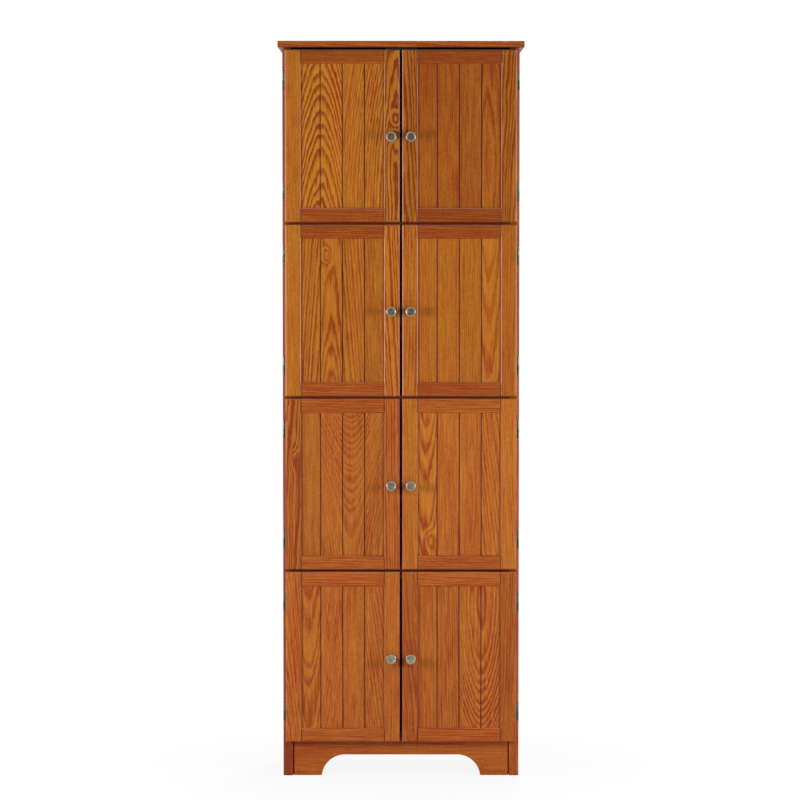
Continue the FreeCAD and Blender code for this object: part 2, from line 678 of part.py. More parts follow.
# Check every object, then write one file for each sub-part
doc.recompute()
for item in doc.Objects:
    if "Invalid" in item.State or "Error" in item.State:
        raise RuntimeError(f"{item.Name} failed: {item.State}")
for item, solids in nodes:
    if item.Shape.isNull() or not item.Shape.isValid():
        raise RuntimeError(f"{item.Label} has no valid shape")
    if len(item.Shape.Solids) != solids:
        raise RuntimeError(f"{item.Label} has {len(item.Shape.Solids)} solids, not {solids}")
os.makedirs("parts", exist_ok=True)
for item, solids in nodes:
    item.Shape.exportStep(f"parts/{item.Label}.step")
print(len(nodes), "sub-parts written")
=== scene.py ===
"""Stained pine looks of a tall storage cabinet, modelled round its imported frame."""

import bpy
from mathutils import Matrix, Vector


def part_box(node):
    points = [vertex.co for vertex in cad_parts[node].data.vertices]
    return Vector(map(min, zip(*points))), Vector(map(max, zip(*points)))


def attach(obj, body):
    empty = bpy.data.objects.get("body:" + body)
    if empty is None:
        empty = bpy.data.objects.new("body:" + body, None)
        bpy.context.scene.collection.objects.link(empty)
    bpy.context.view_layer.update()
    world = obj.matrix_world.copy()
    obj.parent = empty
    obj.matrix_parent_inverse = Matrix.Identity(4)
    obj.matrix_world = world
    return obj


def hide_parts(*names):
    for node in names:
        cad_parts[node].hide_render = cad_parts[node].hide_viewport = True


bl_info = {
    "name": "Tall Storage Cabinet",
    "version": (1, 0, 0),
    "blender": (4, 5, 0),
    "location": "3D View > Sidebar > Cabinet",
    "description": "Models the boards, doors and fittings of a tall eight-door cabinet and finishes them",
    "category": "Add Mesh",
}

import math
import zlib
from collections import namedtuple

import bmesh
import bpy
from bpy.props import FloatProperty, FloatVectorProperty, IntProperty, PointerProperty
from mathutils import Vector

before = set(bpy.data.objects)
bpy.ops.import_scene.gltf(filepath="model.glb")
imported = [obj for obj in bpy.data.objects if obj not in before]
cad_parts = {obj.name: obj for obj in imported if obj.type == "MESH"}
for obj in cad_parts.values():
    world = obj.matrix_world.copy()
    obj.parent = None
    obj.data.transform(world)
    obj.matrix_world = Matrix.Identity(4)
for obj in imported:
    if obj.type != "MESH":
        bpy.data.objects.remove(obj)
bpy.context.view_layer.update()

MM = 0.001
NEAR = 0.01 * MM
TIERS = ("top", "upper", "lower", "bottom")
HANDS = ("left", "right")
DOORS = [(tier, hand, f"{tier}_{hand}_door") for tier in TIERS for hand in HANDS]
X, Y, Z = Vector((1, 0, 0)), Vector((0, 1, 0)), Vector((0, 0, 1))
AXES = {"x": X, "z": Z}
SMOOTH_ANGLE = math.radians(35)
EASING_STEPS = 2
PLATE_EASING = 0.25 * MM
# Shares of the dark stain colour along an edge, in a groove and under an overhang: painted shade, with real
# stain in the grooves
FAINT, HEAVY, FULL = 0.4, 0.85, 0.95
# Part of a face's normal past which it looks down, or is on the steep side of an edge
DOWNWARD, STEEP = -0.3, 0.8
# Number of different seeds for the grain, and the step between the boards of one piece
SEEDS, SEED_STEP = 500, 7.3


def linear(hex_colour):
    """Turn an sRGB hex value into linear red, green, blue and alpha."""
    parts = [int(hex_colour[start:start + 2], 16) / 255 for start in (0, 2, 4)]
    return [*(c / 12.92 if c <= 0.04045 else ((c + 0.055) / 1.055) ** 2.4 for c in parts), 1.0]


# Sizes and colours that a user would change
def size(name, description, millimetres):
    return FloatProperty(name=name, description=description, default=millimetres * MM, min=0, unit="LENGTH",
                         precision=4)


def colour(name, description, hex_colour):
    return FloatVectorProperty(name=name, description=description, subtype="COLOR", size=4, min=0, max=1,
                               default=linear(hex_colour))


class CabinetSizes(bpy.types.PropertyGroup):
    """Sizes that the frame's boxes don't give"""

    stile_width: size("Stile width", "Width of a door's upright members", 39.5)
    rail_width: size("Rail width", "Height of a door's level members", 35.5)
    panel_tongue: size("Panel tongue", "Depth of the groove that holds a door panel", 8)
    door_rounding: size("Door rounding", "Radius round a door's front edges", 6)
    frame_easing: size("Frame easing", "Radius along the inner front edges of a door frame", 3.5)
    joint: size("Joint", "Width of the line between a rail and a stile", 1)
    groove_spacing: size("Groove spacing", "Distance between the grooves of a door panel", 54.7)
    groove_width: size("Groove width", "Width of a panel groove at the face", 3.2)
    groove_depth: size("Groove depth", "Depth of a panel groove", 2)
    # The panel border is painted shade: the stiles' shadow on the sunken panel's left and right sides
    border: size("Panel border", "Width of the stain gathered along a panel's sides", 1.6)
    side_rounding: size("Side rounding", "Radius of a side panel's outer front edge", 7)
    back_lap: size("Back lap", "Width of the rabbet that the back panels lie in", 10)
    top_easing: size("Top easing", "Radius round the top board's free edges", 2.5)
    arris: size("Arris", "Sanded edge of every other board", 0.8)
    apron_gap: size("Apron gap", "Width of the dark line at each end of the apron", 2.8)
    apron_rebate: size("Apron rebate", "Depth of the dark line at each end of the apron", 9)
    arch_width: size("Arch width", "Width of the apron's arch at the floor", 396)
    arch_rise: size("Arch rise", "Height of the apron's arch", 52)
    arch_radius: size("Arch radius", "Radius of the arch's round ends", 58)
    knob_base: size("Knob base", "Diameter of a knob's foot", 15)
    knob_neck: size("Knob neck", "Diameter of a knob's neck", 10)
    knob_dish: size("Knob dish", "Diameter of the dish in a knob's face", 18.5)
    knob_rim: size("Knob rim", "Height of a knob's turned rim", 6.5)
    knuckle: size("Hinge knuckle", "Diameter of a hinge knuckle", 5)
    leaf: size("Hinge leaf", "Thickness of a hinge leaf", 1.2)
    proud: size("Screw proud", "Height of a screw head or cam above its surface", 0.2)
    edge_steps: IntProperty(name="Edge steps", description="Faces across a rounded edge", default=5, min=1)
    turn_steps: IntProperty(name="Turning steps", description="Faces round a turned piece", default=48,
                            min=12)


class CabinetColours(bpy.types.PropertyGroup):
    """Colours of the finishes"""

    early_wood: colour("Early wood", "Stained pine between the dark growth rings", "C47E26")
    late_wood: colour("Late wood", "Stained pine in the dark growth rings", "903C16")
    # Stain and shade: stain gathered in the grooves, and painted shade along panel sides, lower edges, the
    # doors' meeting edges and under the top's overhang
    groove_stain: colour("Groove stain", "Stain gathered in grooves and hollows", "462A36")
    # Edge highlight: a painted highlight, the lacquer's sheen on rounded edges put into the colour
    rubbed_edge: colour("Rubbed edge", "Stain sanded thin on a rounded edge", "DCAE98")
    # Floor bounce tint: painted light, the pinker cast that the pale floor throws on the low doors
    rose_stain: colour("Rose stain", "Redder cast of the stain toward the floor", "B4305A")
    hardboard: colour("Hardboard", "Pressed fibre of the back panels", "7A4A26")
    pewter: colour("Pewter", "Polished metal of the knobs", "9C927E")
    # Tarnish and dark reflection: tarnish in soft clouds, and a painted dark reflection in the knobs' dishes
    tarnish: colour("Tarnish", "Dark metal in the hollows", "544E42")
    steel: colour("Steel", "Nickel-plated hinges", "7E7A72")
    zinc: colour("Zinc", "Zinc-plated screws and cast cams", "8E8D88")
    plastic: colour("Plastic", "Moulded catch housings", "2E1D14")
    ferrite: colour("Ferrite", "Sintered magnets", "2B2A2C")
    beech: colour("Beech", "Turned dowels", "D2AE7E")
    floor: colour("Floor", "Pale studio floor", "EEEEEE")


# Shader nodes
def wire(tree, node, inputs):
    """Set or link a shader node's inputs."""
    for key, value in inputs.items():
        if isinstance(value, bpy.types.Node):
            value = value.outputs[0]
        if isinstance(value, bpy.types.NodeSocket):
            tree.links.new(value, node.inputs[key])
        else:
            node.inputs[key].default_value = value


def add(tree, kind, inputs=(), **settings):
    """Add a shader node, set its properties, and set or link its inputs."""
    made = tree.nodes.new("ShaderNode" + kind)
    for name, value in settings.items():
        setattr(made, name, value)
    wire(tree, made, dict(inputs))
    return made


def calc(tree, operation, *values, **settings):
    return add(tree, "Math", dict(enumerate(values)), operation=operation, **settings)


def total(tree, start, *products):
    """Add the products of pairs of values to a start."""
    for first, second in products:
        start = calc(tree, "MULTIPLY_ADD", first, second, start)
    return start


def remap(tree, value, *limits, kind="LINEAR"):
    """Take a value from one range to another, or to 0 to 1 where only one range is given."""
    return add(tree, "MapRange", dict(enumerate((value, *limits))), interpolation_type=kind)


def vector(tree, operation, *values):
    return add(tree, "VectorMath", dict(enumerate(values)), operation=operation)


def split(tree, value):
    return add(tree, "SeparateXYZ", {0: value}).outputs


def scaled(tree, value, share):
    return add(tree, "VectorMath", {0: value, 3: share}, operation="SCALE")


def blend(tree, share, first, second):
    return add(tree, "Mix", {0: share, 6: first, 7: second}, data_type="RGBA").outputs[2]


def bumps(tree, height, strength, distance):
    return add(tree, "Bump", {"Height": height, "Strength": strength, "Distance": distance * MM})


def even_noise(tree, grit, detail, **inputs):
    """Noise of one size in every direction, in millimetres."""
    place = add(tree, "TexCoord").outputs["Object"]
    return add(tree, "TexNoise", {"Vector": place, "Scale": 1 / (grit * MM), "Detail": detail, **inputs})


def new_finish(name):
    """Start a material and give its node tree and its shader."""
    made = bpy.data.materials.new(name)
    made.use_nodes = True
    return made, made.node_tree, made.node_tree.nodes["Principled BSDF"]


# Wood. A board carries its own coordinates in the attribute "grain": across from the middle of its figure,
# along its fibres, and out from the pith. Growth rings are cones round the pith, so a flat-sawn board shows
# arches and a quarter-sawn one shows lines.
def stained_pine(name, tint):
    """Stained and lacquered pine: amber early wood, red-brown late wood, fine pores under a satin coat."""
    made, tree, shader = new_finish(name)
    grain, figure, rings, tone, wear, knot = (
        add(tree, "Attribute", attribute_name=each).outputs["Vector"] for each in ("grain", *GRAIN))
    across, along, out = split(tree, grain)
    cone, curve, seed = split(tree, figure)
    spacing, wander, contrast = split(tree, rings)
    red, bright = split(tree, tone)[:2]
    # The edge share is a painted highlight; the groove share is stain in grooves, and painted shade in
    # recesses, gaps and under the overhang
    edge, groove = split(tree, wear)[:2]
    knot_u, knot_v, knot_push = split(tree, knot)

    def noise(wide, long, detail, roughness=0.5):
        """Noise stretched along the fibres, its sizes in millimetres."""
        place = vector(tree, "MULTIPLY", grain, (1 / (wide * MM), 1 / (long * MM), 1 / (wide * MM)))
        return add(tree, "TexNoise", {"Vector": place, "W": seed, "Scale": 1, "Detail": detail,
                                      "Roughness": roughness}, noise_dimensions="4D")

    # Streaks of pores along the fibres, short dashes between them, faint ripples across, clouds in the stain
    # and the wandering of the rings, each above and below zero
    streaks, dashes, ripples, clouds, drift = (
        calc(tree, "SUBTRACT", noise(*sizes), 0.5)
        for sizes in ((4.5, 70, 3, 0.7), (1, 9, 2), (16, 3, 2), (45, 200, 1), (60, 260, 3)))

    # A knot pushes the rings out round itself, farther along the fibres than across
    away = vector(tree, "SUBTRACT", grain, add(tree, "CombineXYZ", {0: knot_u, 1: knot_v}))
    away = vector(tree, "MULTIPLY", away, (1 / (11 * MM), 1 / (24 * MM), 0))
    away = vector(tree, "DOT_PRODUCT", away, away).outputs["Value"]
    near = calc(tree, "POWER", math.exp(-1), away)

    # Distance from the pith, with what the trunk tapers along the board, some wandering and the knot
    ring = vector(tree, "LENGTH", add(tree, "CombineXYZ", {0: across, 1: out})).outputs["Value"]
    bow = total(tree, cone, (curve, along))
    ring = total(tree, ring, (bow, along), (drift, wander), (near, knot_push))

    # Rings of uneven width with ragged edges, each darkening through its late wood and ending sharply
    turn = calc(tree, "DIVIDE", ring, spacing)
    uneven = add(tree, "TexNoise", {"W": total(tree, seed, (turn, 0.37)), "Scale": 1, "Detail": 1},
                 noise_dimensions="1D")
    turn = total(tree, turn, (uneven, 1.6), (streaks, 0.9), (noise(2.5, 28, 1), 0.3))
    turn = calc(tree, "FRACT", turn)
    darken = remap(tree, turn, 0.28, 0.8, kind="SMOOTHSTEP")
    ending = remap(tree, turn, 0.9, 1.0, 1, 0, kind="SMOOTHSTEP")
    late = calc(tree, "SUBTRACT", calc(tree, "MULTIPLY", darken, ending), 0.42)
    strength = calc(tree, "MULTIPLY", contrast, remap(tree, clouds, -0.2, 0.2, 0.6, 1.15))
    late = total(tree, red, (late, strength), (streaks, 1.28), (clouds, 0.5))
    late = calc(tree, "MULTIPLY_ADD", dashes, -0.5, late, use_clamp=True)
    wood = blend(tree, late, tint.early_wood, tint.late_wood)

    # Pores and flecks in the stain, and painted light toward the floor: a pinker cast for light thrown up by
    # the pale floor
    fleck = remap(tree, contrast, 0.2, 1, 0.3, 0)
    light = total(tree, remap(tree, dashes, -0.25, 0.25, 0.86, 1.14), (ripples, fleck))
    wood = scaled(tree, wood, calc(tree, "MULTIPLY", light, bright))
    up = split(tree, add(tree, "TexCoord").outputs["Object"])["Z"]
    wood = blend(tree, remap(tree, up, 1.15, 0.8, 0, 0.055), wood, tint.rose_stain)

    # Painted highlight on rounded edges, standing in for the lacquer's sheen, and the dark stain colour in
    # grooves: stain there, and painted shade along panel sides, on lower edges, in gaps and under the
    # overhang
    rubbed = calc(tree, "MULTIPLY", remap(tree, streaks, -0.2, 0.2, 0.45, 0.8), edge)
    wood = blend(tree, rubbed, wood, tint.rubbed_edge)
    wood = blend(tree, groove, wood, tint.groove_stain)
    wire(tree, shader, {"Base Color": wood, "Roughness": remap(tree, dashes, -0.3, 0.3, 0.42, 0.3),
                        "Normal": bumps(tree, total(tree, dashes, (late, 0.5)), 0.25, 0.12),
                        "Specular IOR Level": 0.1})
    return made


def pressed_hardboard(name, tint):
    """Hardboard: short pressed fibres in every direction, dull and faintly mottled."""
    made, tree, shader = new_finish(name)
    fibres = even_noise(tree, 5, 4, Roughness=0.7)
    clouds = remap(tree, even_noise(tree, 90, 3), 0.3, 0.7, 0.94, 1.06)
    light = calc(tree, "MULTIPLY", remap(tree, fibres, 0.3, 0.7, 0.72, 1.28), clouds)
    wire(tree, shader, {"Base Color": scaled(tree, tint[:3], light), "Roughness": 0.7,
                        "Normal": bumps(tree, fibres, 0.3, 0.1)})
    return made


def worn_metal(name, bright, dark, roughness, grit):
    """Plated or cast metal: dull in soft clouds, darker where the hollow attribute is set, with a fine grit
    in the gloss.
    """
    made, tree, shader = new_finish(name)
    fine = even_noise(tree, grit, 3)
    # hollow is a painted dark reflection in a knob's dish; on a knob's back and a hinge's lower half it only
    # makes the metal darker
    hollow = add(tree, "Attribute", attribute_name="hollow").outputs["Fac"]
    clouds = remap(tree, even_noise(tree, 9, 4), 0.42, 0.72, 0, 0.5)
    dull = calc(tree, "ADD", clouds, hollow, use_clamp=True)
    wire(tree, shader, {"Base Color": blend(tree, dull, bright, dark), "Metallic": 1,
                        "Roughness": remap(tree, fine, 0.3, 0.7, roughness - 0.08, roughness + 0.1),
                        "Normal": bumps(tree, fine, 0.12, 0.05)})
    return made


def moulded(name, tint, roughness, grit):
    """Moulded or sintered material: even colour with a fine sprayed texture."""
    made, tree, shader = new_finish(name)
    fine = even_noise(tree, grit, 2)
    light = remap(tree, fine, 0.3, 0.7, 0.92, 1.08)
    wire(tree, shader, {"Base Color": scaled(tree, tint[:3], light), "Roughness": roughness,
                        "Normal": bumps(tree, fine, 0.2, 0.05)})
    return made


def finish_of(context, slot):
    """Give the material for one of the record's slots, made on first use."""
    tint = context.scene.cabinet_colours
    wood = (stained_pine, "stained_pine", tint)
    makers = {
        "stained_panel": wood, "stained_frame": wood, "stained_board": wood, "shelf_board": wood,
        "back_hardboard": (pressed_hardboard, "pressed_hardboard", tint.hardboard),
        "pewter_knob": (worn_metal, "antique_pewter", tint.pewter, tint.tarnish, 0.33, 0.5),
        "hinge_steel": (worn_metal, "nickel_plated_steel", tint.steel, tint.tarnish, 0.36, 0.4),
        "screw_steel": (worn_metal, "zinc_plated_steel", tint.zinc, tint.tarnish, 0.35, 0.3),
        "cam_zinc": (worn_metal, "cast_zinc", tint.zinc, tint.tarnish, 0.45, 0.4),
        "catch_plastic": (moulded, "moulded_plastic", tint.plastic, 0.5, 0.4),
        "magnet_ferrite": (moulded, "sintered_ferrite", tint.ferrite, 0.6, 0.3),
        "dowel_beech": (moulded, "turned_beech", tint.beech, 0.65, 0.8),
    }
    maker, name, *settings = makers[slot]
    return bpy.data.materials.get(name) or maker(name, *settings)


# A board's figure, in millimetres: how far the pith lies to one side of the board's middle and behind its
# face, how far the rings close in for each millimetre along the board and how that changes over a metre, the
# ring spacing, how strongly the rings show, how far they stray, the share of red late wood, the brightness of
# the stain, and a knot's place and push
Figure = namedtuple("Figure", "aside depth cone curve spacing contrast wander red bright knot",
                    defaults=(70, 30, 0.02, 0, 5.5, 0.6, 7, 0.65, 1.0, (0, 0, 0)))
GRAIN = ("figure", "rings", "tone", "wear", "knot")


def lay_grain(piece, boards, across, along, rub=(0.2, 0.2, 0.2, 0)):
    """Store on each face its board's own coordinates and figure. boards holds each board's middle, its
    figure and a test of which face centres belong to it; the last argument is how strong a painted highlight
    lies on rounded edges to the left, right, top and bottom, and below zero how much painted shade lies
    there."""
    mesh = piece.data
    through = along.cross(across)
    mesh.attributes.new("grain", "FLOAT_VECTOR", "CORNER")
    for name in GRAIN:
        mesh.attributes.new(name, "FLOAT_VECTOR", "FACE")
    grain = mesh.attributes["grain"].data
    stored = [mesh.attributes[name].data for name in GRAIN]
    seed = zlib.crc32(piece.name.encode()) % SEEDS
    for face in mesh.polygons:
        number = next(number for number, board in enumerate(boards) if board[2](face.center))
        middle, figure = boards[number][:2]
        # Rounded is 0 on a level face, a wall or the front, and soon 1 where an edge turns between them
        normal = face.normal
        rounded = min(1, 20 * (1 - max(abs(part) for part in normal)))
        rounded *= min(1, max(0, 2.5 * math.hypot(normal.x, normal.z) - 0.75))
        # Above zero this level is a painted highlight on the edge, below zero painted shade
        level = abs(normal.x) * rub[normal.x > 0] + abs(normal.z) * rub[2 if normal.z > 0 else 3]
        edge = rounded * level / max(abs(normal.x) + abs(normal.z), NEAR)
        knot_u, knot_v, knot_push = figure.knot
        values = ((figure.cone, figure.curve, seed + SEED_STEP * number),
                  (figure.spacing * MM, figure.wander * MM, figure.contrast),
                  (figure.red, figure.bright, 0), (max(edge, 0), max(-edge, 0), 0),
                  ((knot_u - figure.aside) * MM, knot_v * MM, knot_push * MM))
        for data, value in zip(stored, values):
            data[face.index].vector = value
        for corner in face.loop_indices:
            place = mesh.vertices[mesh.loops[corner].vertex_index].co - middle
            grain[corner].vector = (place @ across - figure.aside * MM, place @ along,
                                    place @ through + figure.depth * MM)


def whole(middle, figure):
    """A single board, for lay_grain."""
    return [(middle, figure, lambda place: True)]


def joints(figures, start, end):
    """Places of the glue lines between staves of one width."""
    return [start + number * (end - start) / len(figures) for number in range(1, len(figures))]


def glued(figures, start, end, middle):
    """Staves side by side along Y, for lay_grain."""
    limits = [*joints(figures, start, end), math.inf]
    boards = []
    for number, (figure, limit) in enumerate(zip(figures, limits)):
        place = Vector(middle)
        place.y = start + (number + 0.5) * (end - start) / len(figures)
        boards.append((place, figure, lambda spot, limit=limit: spot.y < limit))
    return boards


def gather(piece, share, test):
    """Give the faces that pass a test a share of the dark stain colour: stain in grooves, painted shade
    elsewhere.
    """
    for face, wear in zip(piece.data.polygons, piece.data.attributes["wear"].data):
        if test(face):
            wear.vector = (0, share, 0)


# Modelling steps
def mode(name):
    bpy.ops.object.mode_set(mode=name)


def alone(*pieces):
    """Select only these pieces and make the first one active."""
    bpy.ops.object.select_all(action="DESELECT")
    for piece in pieces:
        piece.select_set(True)
    bpy.context.view_layer.objects.active = pieces[0]


def opened(name, scale=(1, 1, 1)):
    """Name and scale the piece just added and open it in edit mode."""
    piece = bpy.context.object
    alone(piece)
    piece.scale = scale
    bpy.ops.object.transform_apply()
    piece.name = piece.data.name = name
    mode("EDIT")
    return piece


def block(name, start, end):
    """Add a block between two opposite corners and open it in edit mode."""
    low, high = (Vector(map(pick, start, end)) for pick in (min, max))
    bpy.ops.mesh.primitive_cube_add(size=1, location=(low + high) / 2)
    return opened(name, high - low)


def turned(name, steps, points):
    """Turn a solid round Z from the radii and heights of its outline, foot first."""
    bpy.ops.mesh.primitive_circle_add(vertices=steps, radius=points[0][0], location=(0, 0, points[0][1]),
                                      fill_type="NGON")
    piece = opened(name)
    for (radius, height), (wider, higher) in zip(points, points[1:]):
        bpy.ops.mesh.extrude_region_move(TRANSFORM_OT_translate={"value": (0, 0, higher - height)})
        bpy.ops.transform.resize(value=(wider / radius, wider / radius, 1), center_override=(0, 0, higher))
    bpy.ops.mesh.select_mode(type="EDGE")
    bpy.ops.mesh.select_all(action="DESELECT")
    bpy.ops.mesh.select_non_manifold()
    bpy.ops.mesh.edge_face_add()
    bpy.ops.mesh.select_all(action="SELECT")
    bpy.ops.mesh.normals_make_consistent(inside=False)
    mode("OBJECT")
    bpy.ops.object.shade_smooth_by_angle(angle=SMOOTH_ANGLE)
    return piece


def rod(name, steps, radius, start, end, ease):
    """Turn a rod along Z with eased ends."""
    return turned(name, steps, [(radius - ease, start), (radius, start + ease), (radius, end - ease),
                                (radius - ease, end)])


def lies(item, **planes):
    """Whether every corner of an edge or face is on the given planes."""
    return all(abs(getattr(corner.co, axis) - value) < NEAR
               for corner in item.verts for axis, value in planes.items())


def choose(piece, kind, test):
    """Select the edges, faces or verts of an open piece that pass a test."""
    bpy.ops.mesh.select_mode(type=kind[:-1].upper())
    bpy.ops.mesh.select_all(action="DESELECT")
    mesh = bmesh.from_edit_mesh(piece.data)
    for item in getattr(mesh, kind):
        if test(item):
            item.select_set(True)
    mesh.select_flush_mode()
    bmesh.update_edit_mesh(piece.data)


def round_edges(piece, radius, steps, test):
    choose(piece, "edges", test)
    bpy.ops.mesh.bevel(offset=radius, segments=steps, affect="EDGES")


def slice_at(axis, *places):
    """Cut the open piece's faces across an axis."""
    for place in places:
        bpy.ops.mesh.select_all(action="SELECT")
        bpy.ops.mesh.bisect(plane_co=axis * place, plane_no=axis)


def set_back(piece, axis, end, toward, radius, steps, behind):
    """Round a straight front edge of an open piece: slice the face beside it and set the slices back along an
    arc, as far as the depth that the front's own rounding reaches."""
    turns = [math.radians(90 * number / steps) for number in range(steps + 1)]
    places = [end + math.copysign(radius * (1 - math.sin(turn)), toward - end) for turn in turns]
    slice_at(axis, *places[:-1])
    for place, turn in zip(places[1:], turns[1:]):
        choose(piece, "verts", lambda point: abs(point.co @ axis - place) < NEAR
               and point.co.y < behind + NEAR)
        bpy.ops.transform.translate(value=(0, radius * (1 - math.cos(turn)), 0))


def push(piece, test, offset):
    """Extrude the faces that pass a test."""
    choose(piece, "faces", test)
    bpy.ops.mesh.extrude_region_move(TRANSFORM_OT_translate={"value": offset})


def close(piece):
    """Leave edit mode, and shade the flat faces flat and the rounded edges smooth."""
    mode("OBJECT")
    bpy.ops.object.shade_smooth_by_angle(angle=SMOOTH_ANGLE)
    bpy.ops.object.modifier_add(type="WEIGHTED_NORMAL")
    piece.modifiers[-1].keep_sharp = True
    bpy.ops.object.modifier_apply(modifier=piece.modifiers[-1].name)
    return piece


def stamped(name, start, end):
    """A metal plate with eased edges."""
    piece = block(name, start, end)
    round_edges(piece, PLATE_EASING, EASING_STEPS, lambda edge: True)
    return close(piece)


def carve(piece, waste):
    """Cut one closed piece out of another."""
    alone(piece)
    bpy.ops.object.modifier_add(type="BOOLEAN")
    piece.modifiers[-1].object = waste
    bpy.ops.object.modifier_apply(modifier=piece.modifiers[-1].name)
    bpy.data.objects.remove(waste)


def cross_cut(piece, length, width, top, depth):
    """Press a cross recess into the top of a turned piece."""
    for x, y in ((length, width), (width, length)):
        waste = block("recess_waste", (-x / 2, -y / 2, top - depth), (x / 2, y / 2, top + depth))
        mode("OBJECT")
        carve(piece, waste)


def set_down(source, spots):
    """Copy a piece to each place with its Z axis along a direction, and remove the pattern."""
    copies = []
    for place, direction in spots:
        alone(source)
        bpy.ops.object.duplicate()
        made = bpy.context.object
        made.location = place
        made.rotation_euler = direction.to_track_quat("Z", "Y").to_euler()
        copies.append(made)
    bpy.data.objects.remove(source)
    return copies


def solids_of(node):
    """Boxes of the separate solids in one of the frame's nodes."""
    mesh = bmesh.new()
    mesh.from_mesh(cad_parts[node].data)
    bmesh.ops.remove_doubles(mesh, verts=mesh.verts, dist=NEAR)
    left, boxes = set(mesh.verts), []
    while left:
        reached, fresh = set(), [left.pop()]
        while fresh:
            point = fresh.pop()
            reached.add(point)
            near = {edge.other_vert(point) for edge in point.link_edges} & left
            left -= near
            fresh += near
        boxes.append(tuple(Vector(pick(point.co[axis] for point in reached) for axis in range(3))
                           for pick in (min, max)))
    mesh.free()
    return boxes


def end_of(box, direction, inset=0):
    """The middle of a box's end toward a direction, set in by a distance, and the direction."""
    low, high = box
    place = (low + high) / 2
    axis = max(range(3), key=lambda number: abs(direction[number]))
    place[axis] = (high if direction[axis] > 0 else low)[axis] - inset * direction[axis]
    return place, direction


def hand_over(context, piece, body, slot, *nodes):
    """Give a finished piece its material, its body and the nodes that it stands for."""
    piece.data.materials.clear()
    piece.data.materials.append(finish_of(context, slot))
    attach(piece, body)
    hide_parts(*nodes)


def fit(context, parts, body, slot, node, name=None):
    """Join parts into one piece, name it and hand it over."""
    alone(*parts)
    bpy.ops.object.join()
    bpy.ops.object.transform_apply()
    parts[0].name = parts[0].data.name = name or "finished_" + node
    hand_over(context, parts[0], body, slot, node)


class CABINET_OT_top_board(bpy.types.Operator):
    """Glue up the top board from three staves and ease its free edges"""

    bl_idname = "cabinet.top_board"
    bl_label = "Top Board"

    staves = (Figure(30, 60, 0.03, contrast=0.35, red=0.78, bright=1.04), Figure(-20, 45, -0.02, red=0.65),
              Figure(60, 30, 0.02, contrast=0.5, red=0.7))

    def execute(self, context):
        sizes = context.scene.cabinet_sizes
        low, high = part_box("top_board")
        left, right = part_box("left_side_panel")[0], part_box("right_side_panel")[1]
        piece = block("finished_top_board", low, high)
        round_edges(piece, sizes.top_easing, sizes.edge_steps, lambda edge: not lies(edge, y=high.y))
        slice_at(Y, *joints(self.staves, low.y, high.y), left.y)
        slice_at(X, left.x, right.x)
        close(piece)
        # Painted highlight on the rounded side and top edges, painted shade on the lower ones
        lay_grain(piece, glued(self.staves, low.y, high.y, (low + high) / 2), Y, X, (0.4, 0.4, 0.4, -1))
        # Painted shade under the overhang
        gather(piece, FULL, lambda face: face.normal.z < DOWNWARD
               and (face.center.y < left.y or not left.x < face.center.x < right.x))
        hand_over(context, piece, "cabinet", "stained_board", "top_board")
        return {"FINISHED"}


class CABINET_OT_side_panels(bpy.types.Operator):
    """Glue up the two side panels from staves, rabbet them for the back and round their front edges"""

    bl_idname = "cabinet.side_panels"
    bl_label = "Side Panels"

    staves = {
        "left": (Figure(60, 40, 0.01, contrast=0.15, red=0.96, bright=0.86), Figure(10, 30, 0.04, red=0.7),
                 Figure(-50, 30, -0.02, red=0.62), Figure(5, 26, -0.05, spacing=6, red=0.65)),
        "right": (Figure(60, 40, 0.01, contrast=0.1, red=0.82, bright=1.06), Figure(20, 26, -0.04, red=0.65),
                  Figure(0, 30, 0.05, red=0.6), Figure(-40, 50, 0.02, spacing=6, red=0.65)),
    }

    def execute(self, context):
        sizes = context.scene.cabinet_sizes
        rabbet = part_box("upper_back_panel")[0].y
        for hand, sign in zip(HANDS, (-1, 1)):
            node = f"{hand}_side_panel"
            low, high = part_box(node)
            outer, inner = (low.x, high.x) if sign < 0 else (high.x, low.x)
            lip = inner + sign * sizes.back_lap
            piece = block("finished_" + node, low, (high.x, rabbet, high.z))
            slice_at(X, lip)
            push(piece, lambda face: lies(face, y=rabbet) and abs(face.calc_center_median().x) > abs(lip),
                 (0, high.y - rabbet, 0))
            round_edges(piece, sizes.side_rounding, sizes.edge_steps + 1,
                        lambda edge: lies(edge, x=outer, y=low.y))
            round_edges(piece, sizes.arris, EASING_STEPS, lambda edge: lies(edge, x=inner, y=low.y))
            staves = self.staves[hand]
            slice_at(Y, *joints(staves, low.y, high.y))
            close(piece)
            boards = glued(staves, low.y, high.y, (outer, 0, high.z / 2))
            # Painted shade on the rounded front edges beside the doors
            lay_grain(piece, boards, Y, Z, (-0.08, -0.08, 0, 0))
            hand_over(context, piece, "cabinet", "stained_board", node)
        return {"FINISHED"}


class CABINET_OT_shelves(bpy.types.Operator):
    """Cut the bottom board and the three fixed shelves"""

    bl_idname = "cabinet.shelves"
    bl_label = "Shelves"

    def execute(self, context):
        sizes = context.scene.cabinet_sizes
        for number, node in enumerate(("bottom_board", "lower_shelf", "middle_shelf", "upper_shelf")):
            low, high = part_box(node)
            piece = block("finished_" + node, low, high)
            round_edges(piece, sizes.arris, EASING_STEPS,
                        lambda edge: lies(edge, y=low.y, z=edge.verts[0].co.z))
            close(piece)
            # The front stave is redder and darker: painted shade, for the deep red seen in the gaps between
            # the door rows
            figures = (Figure(40 - 30 * number, 40, 0.03 - 0.02 * number, contrast=0.2, red=1.2, bright=0.8),
                       Figure(20 * number - 30, 30, 0.02, contrast=0.5, red=0.7, bright=0.9))
            lay_grain(piece, glued(figures, low.y, high.y, (low + high) / 2), Y, X)
            hand_over(context, piece, "cabinet", "shelf_board", node)
        return {"FINISHED"}


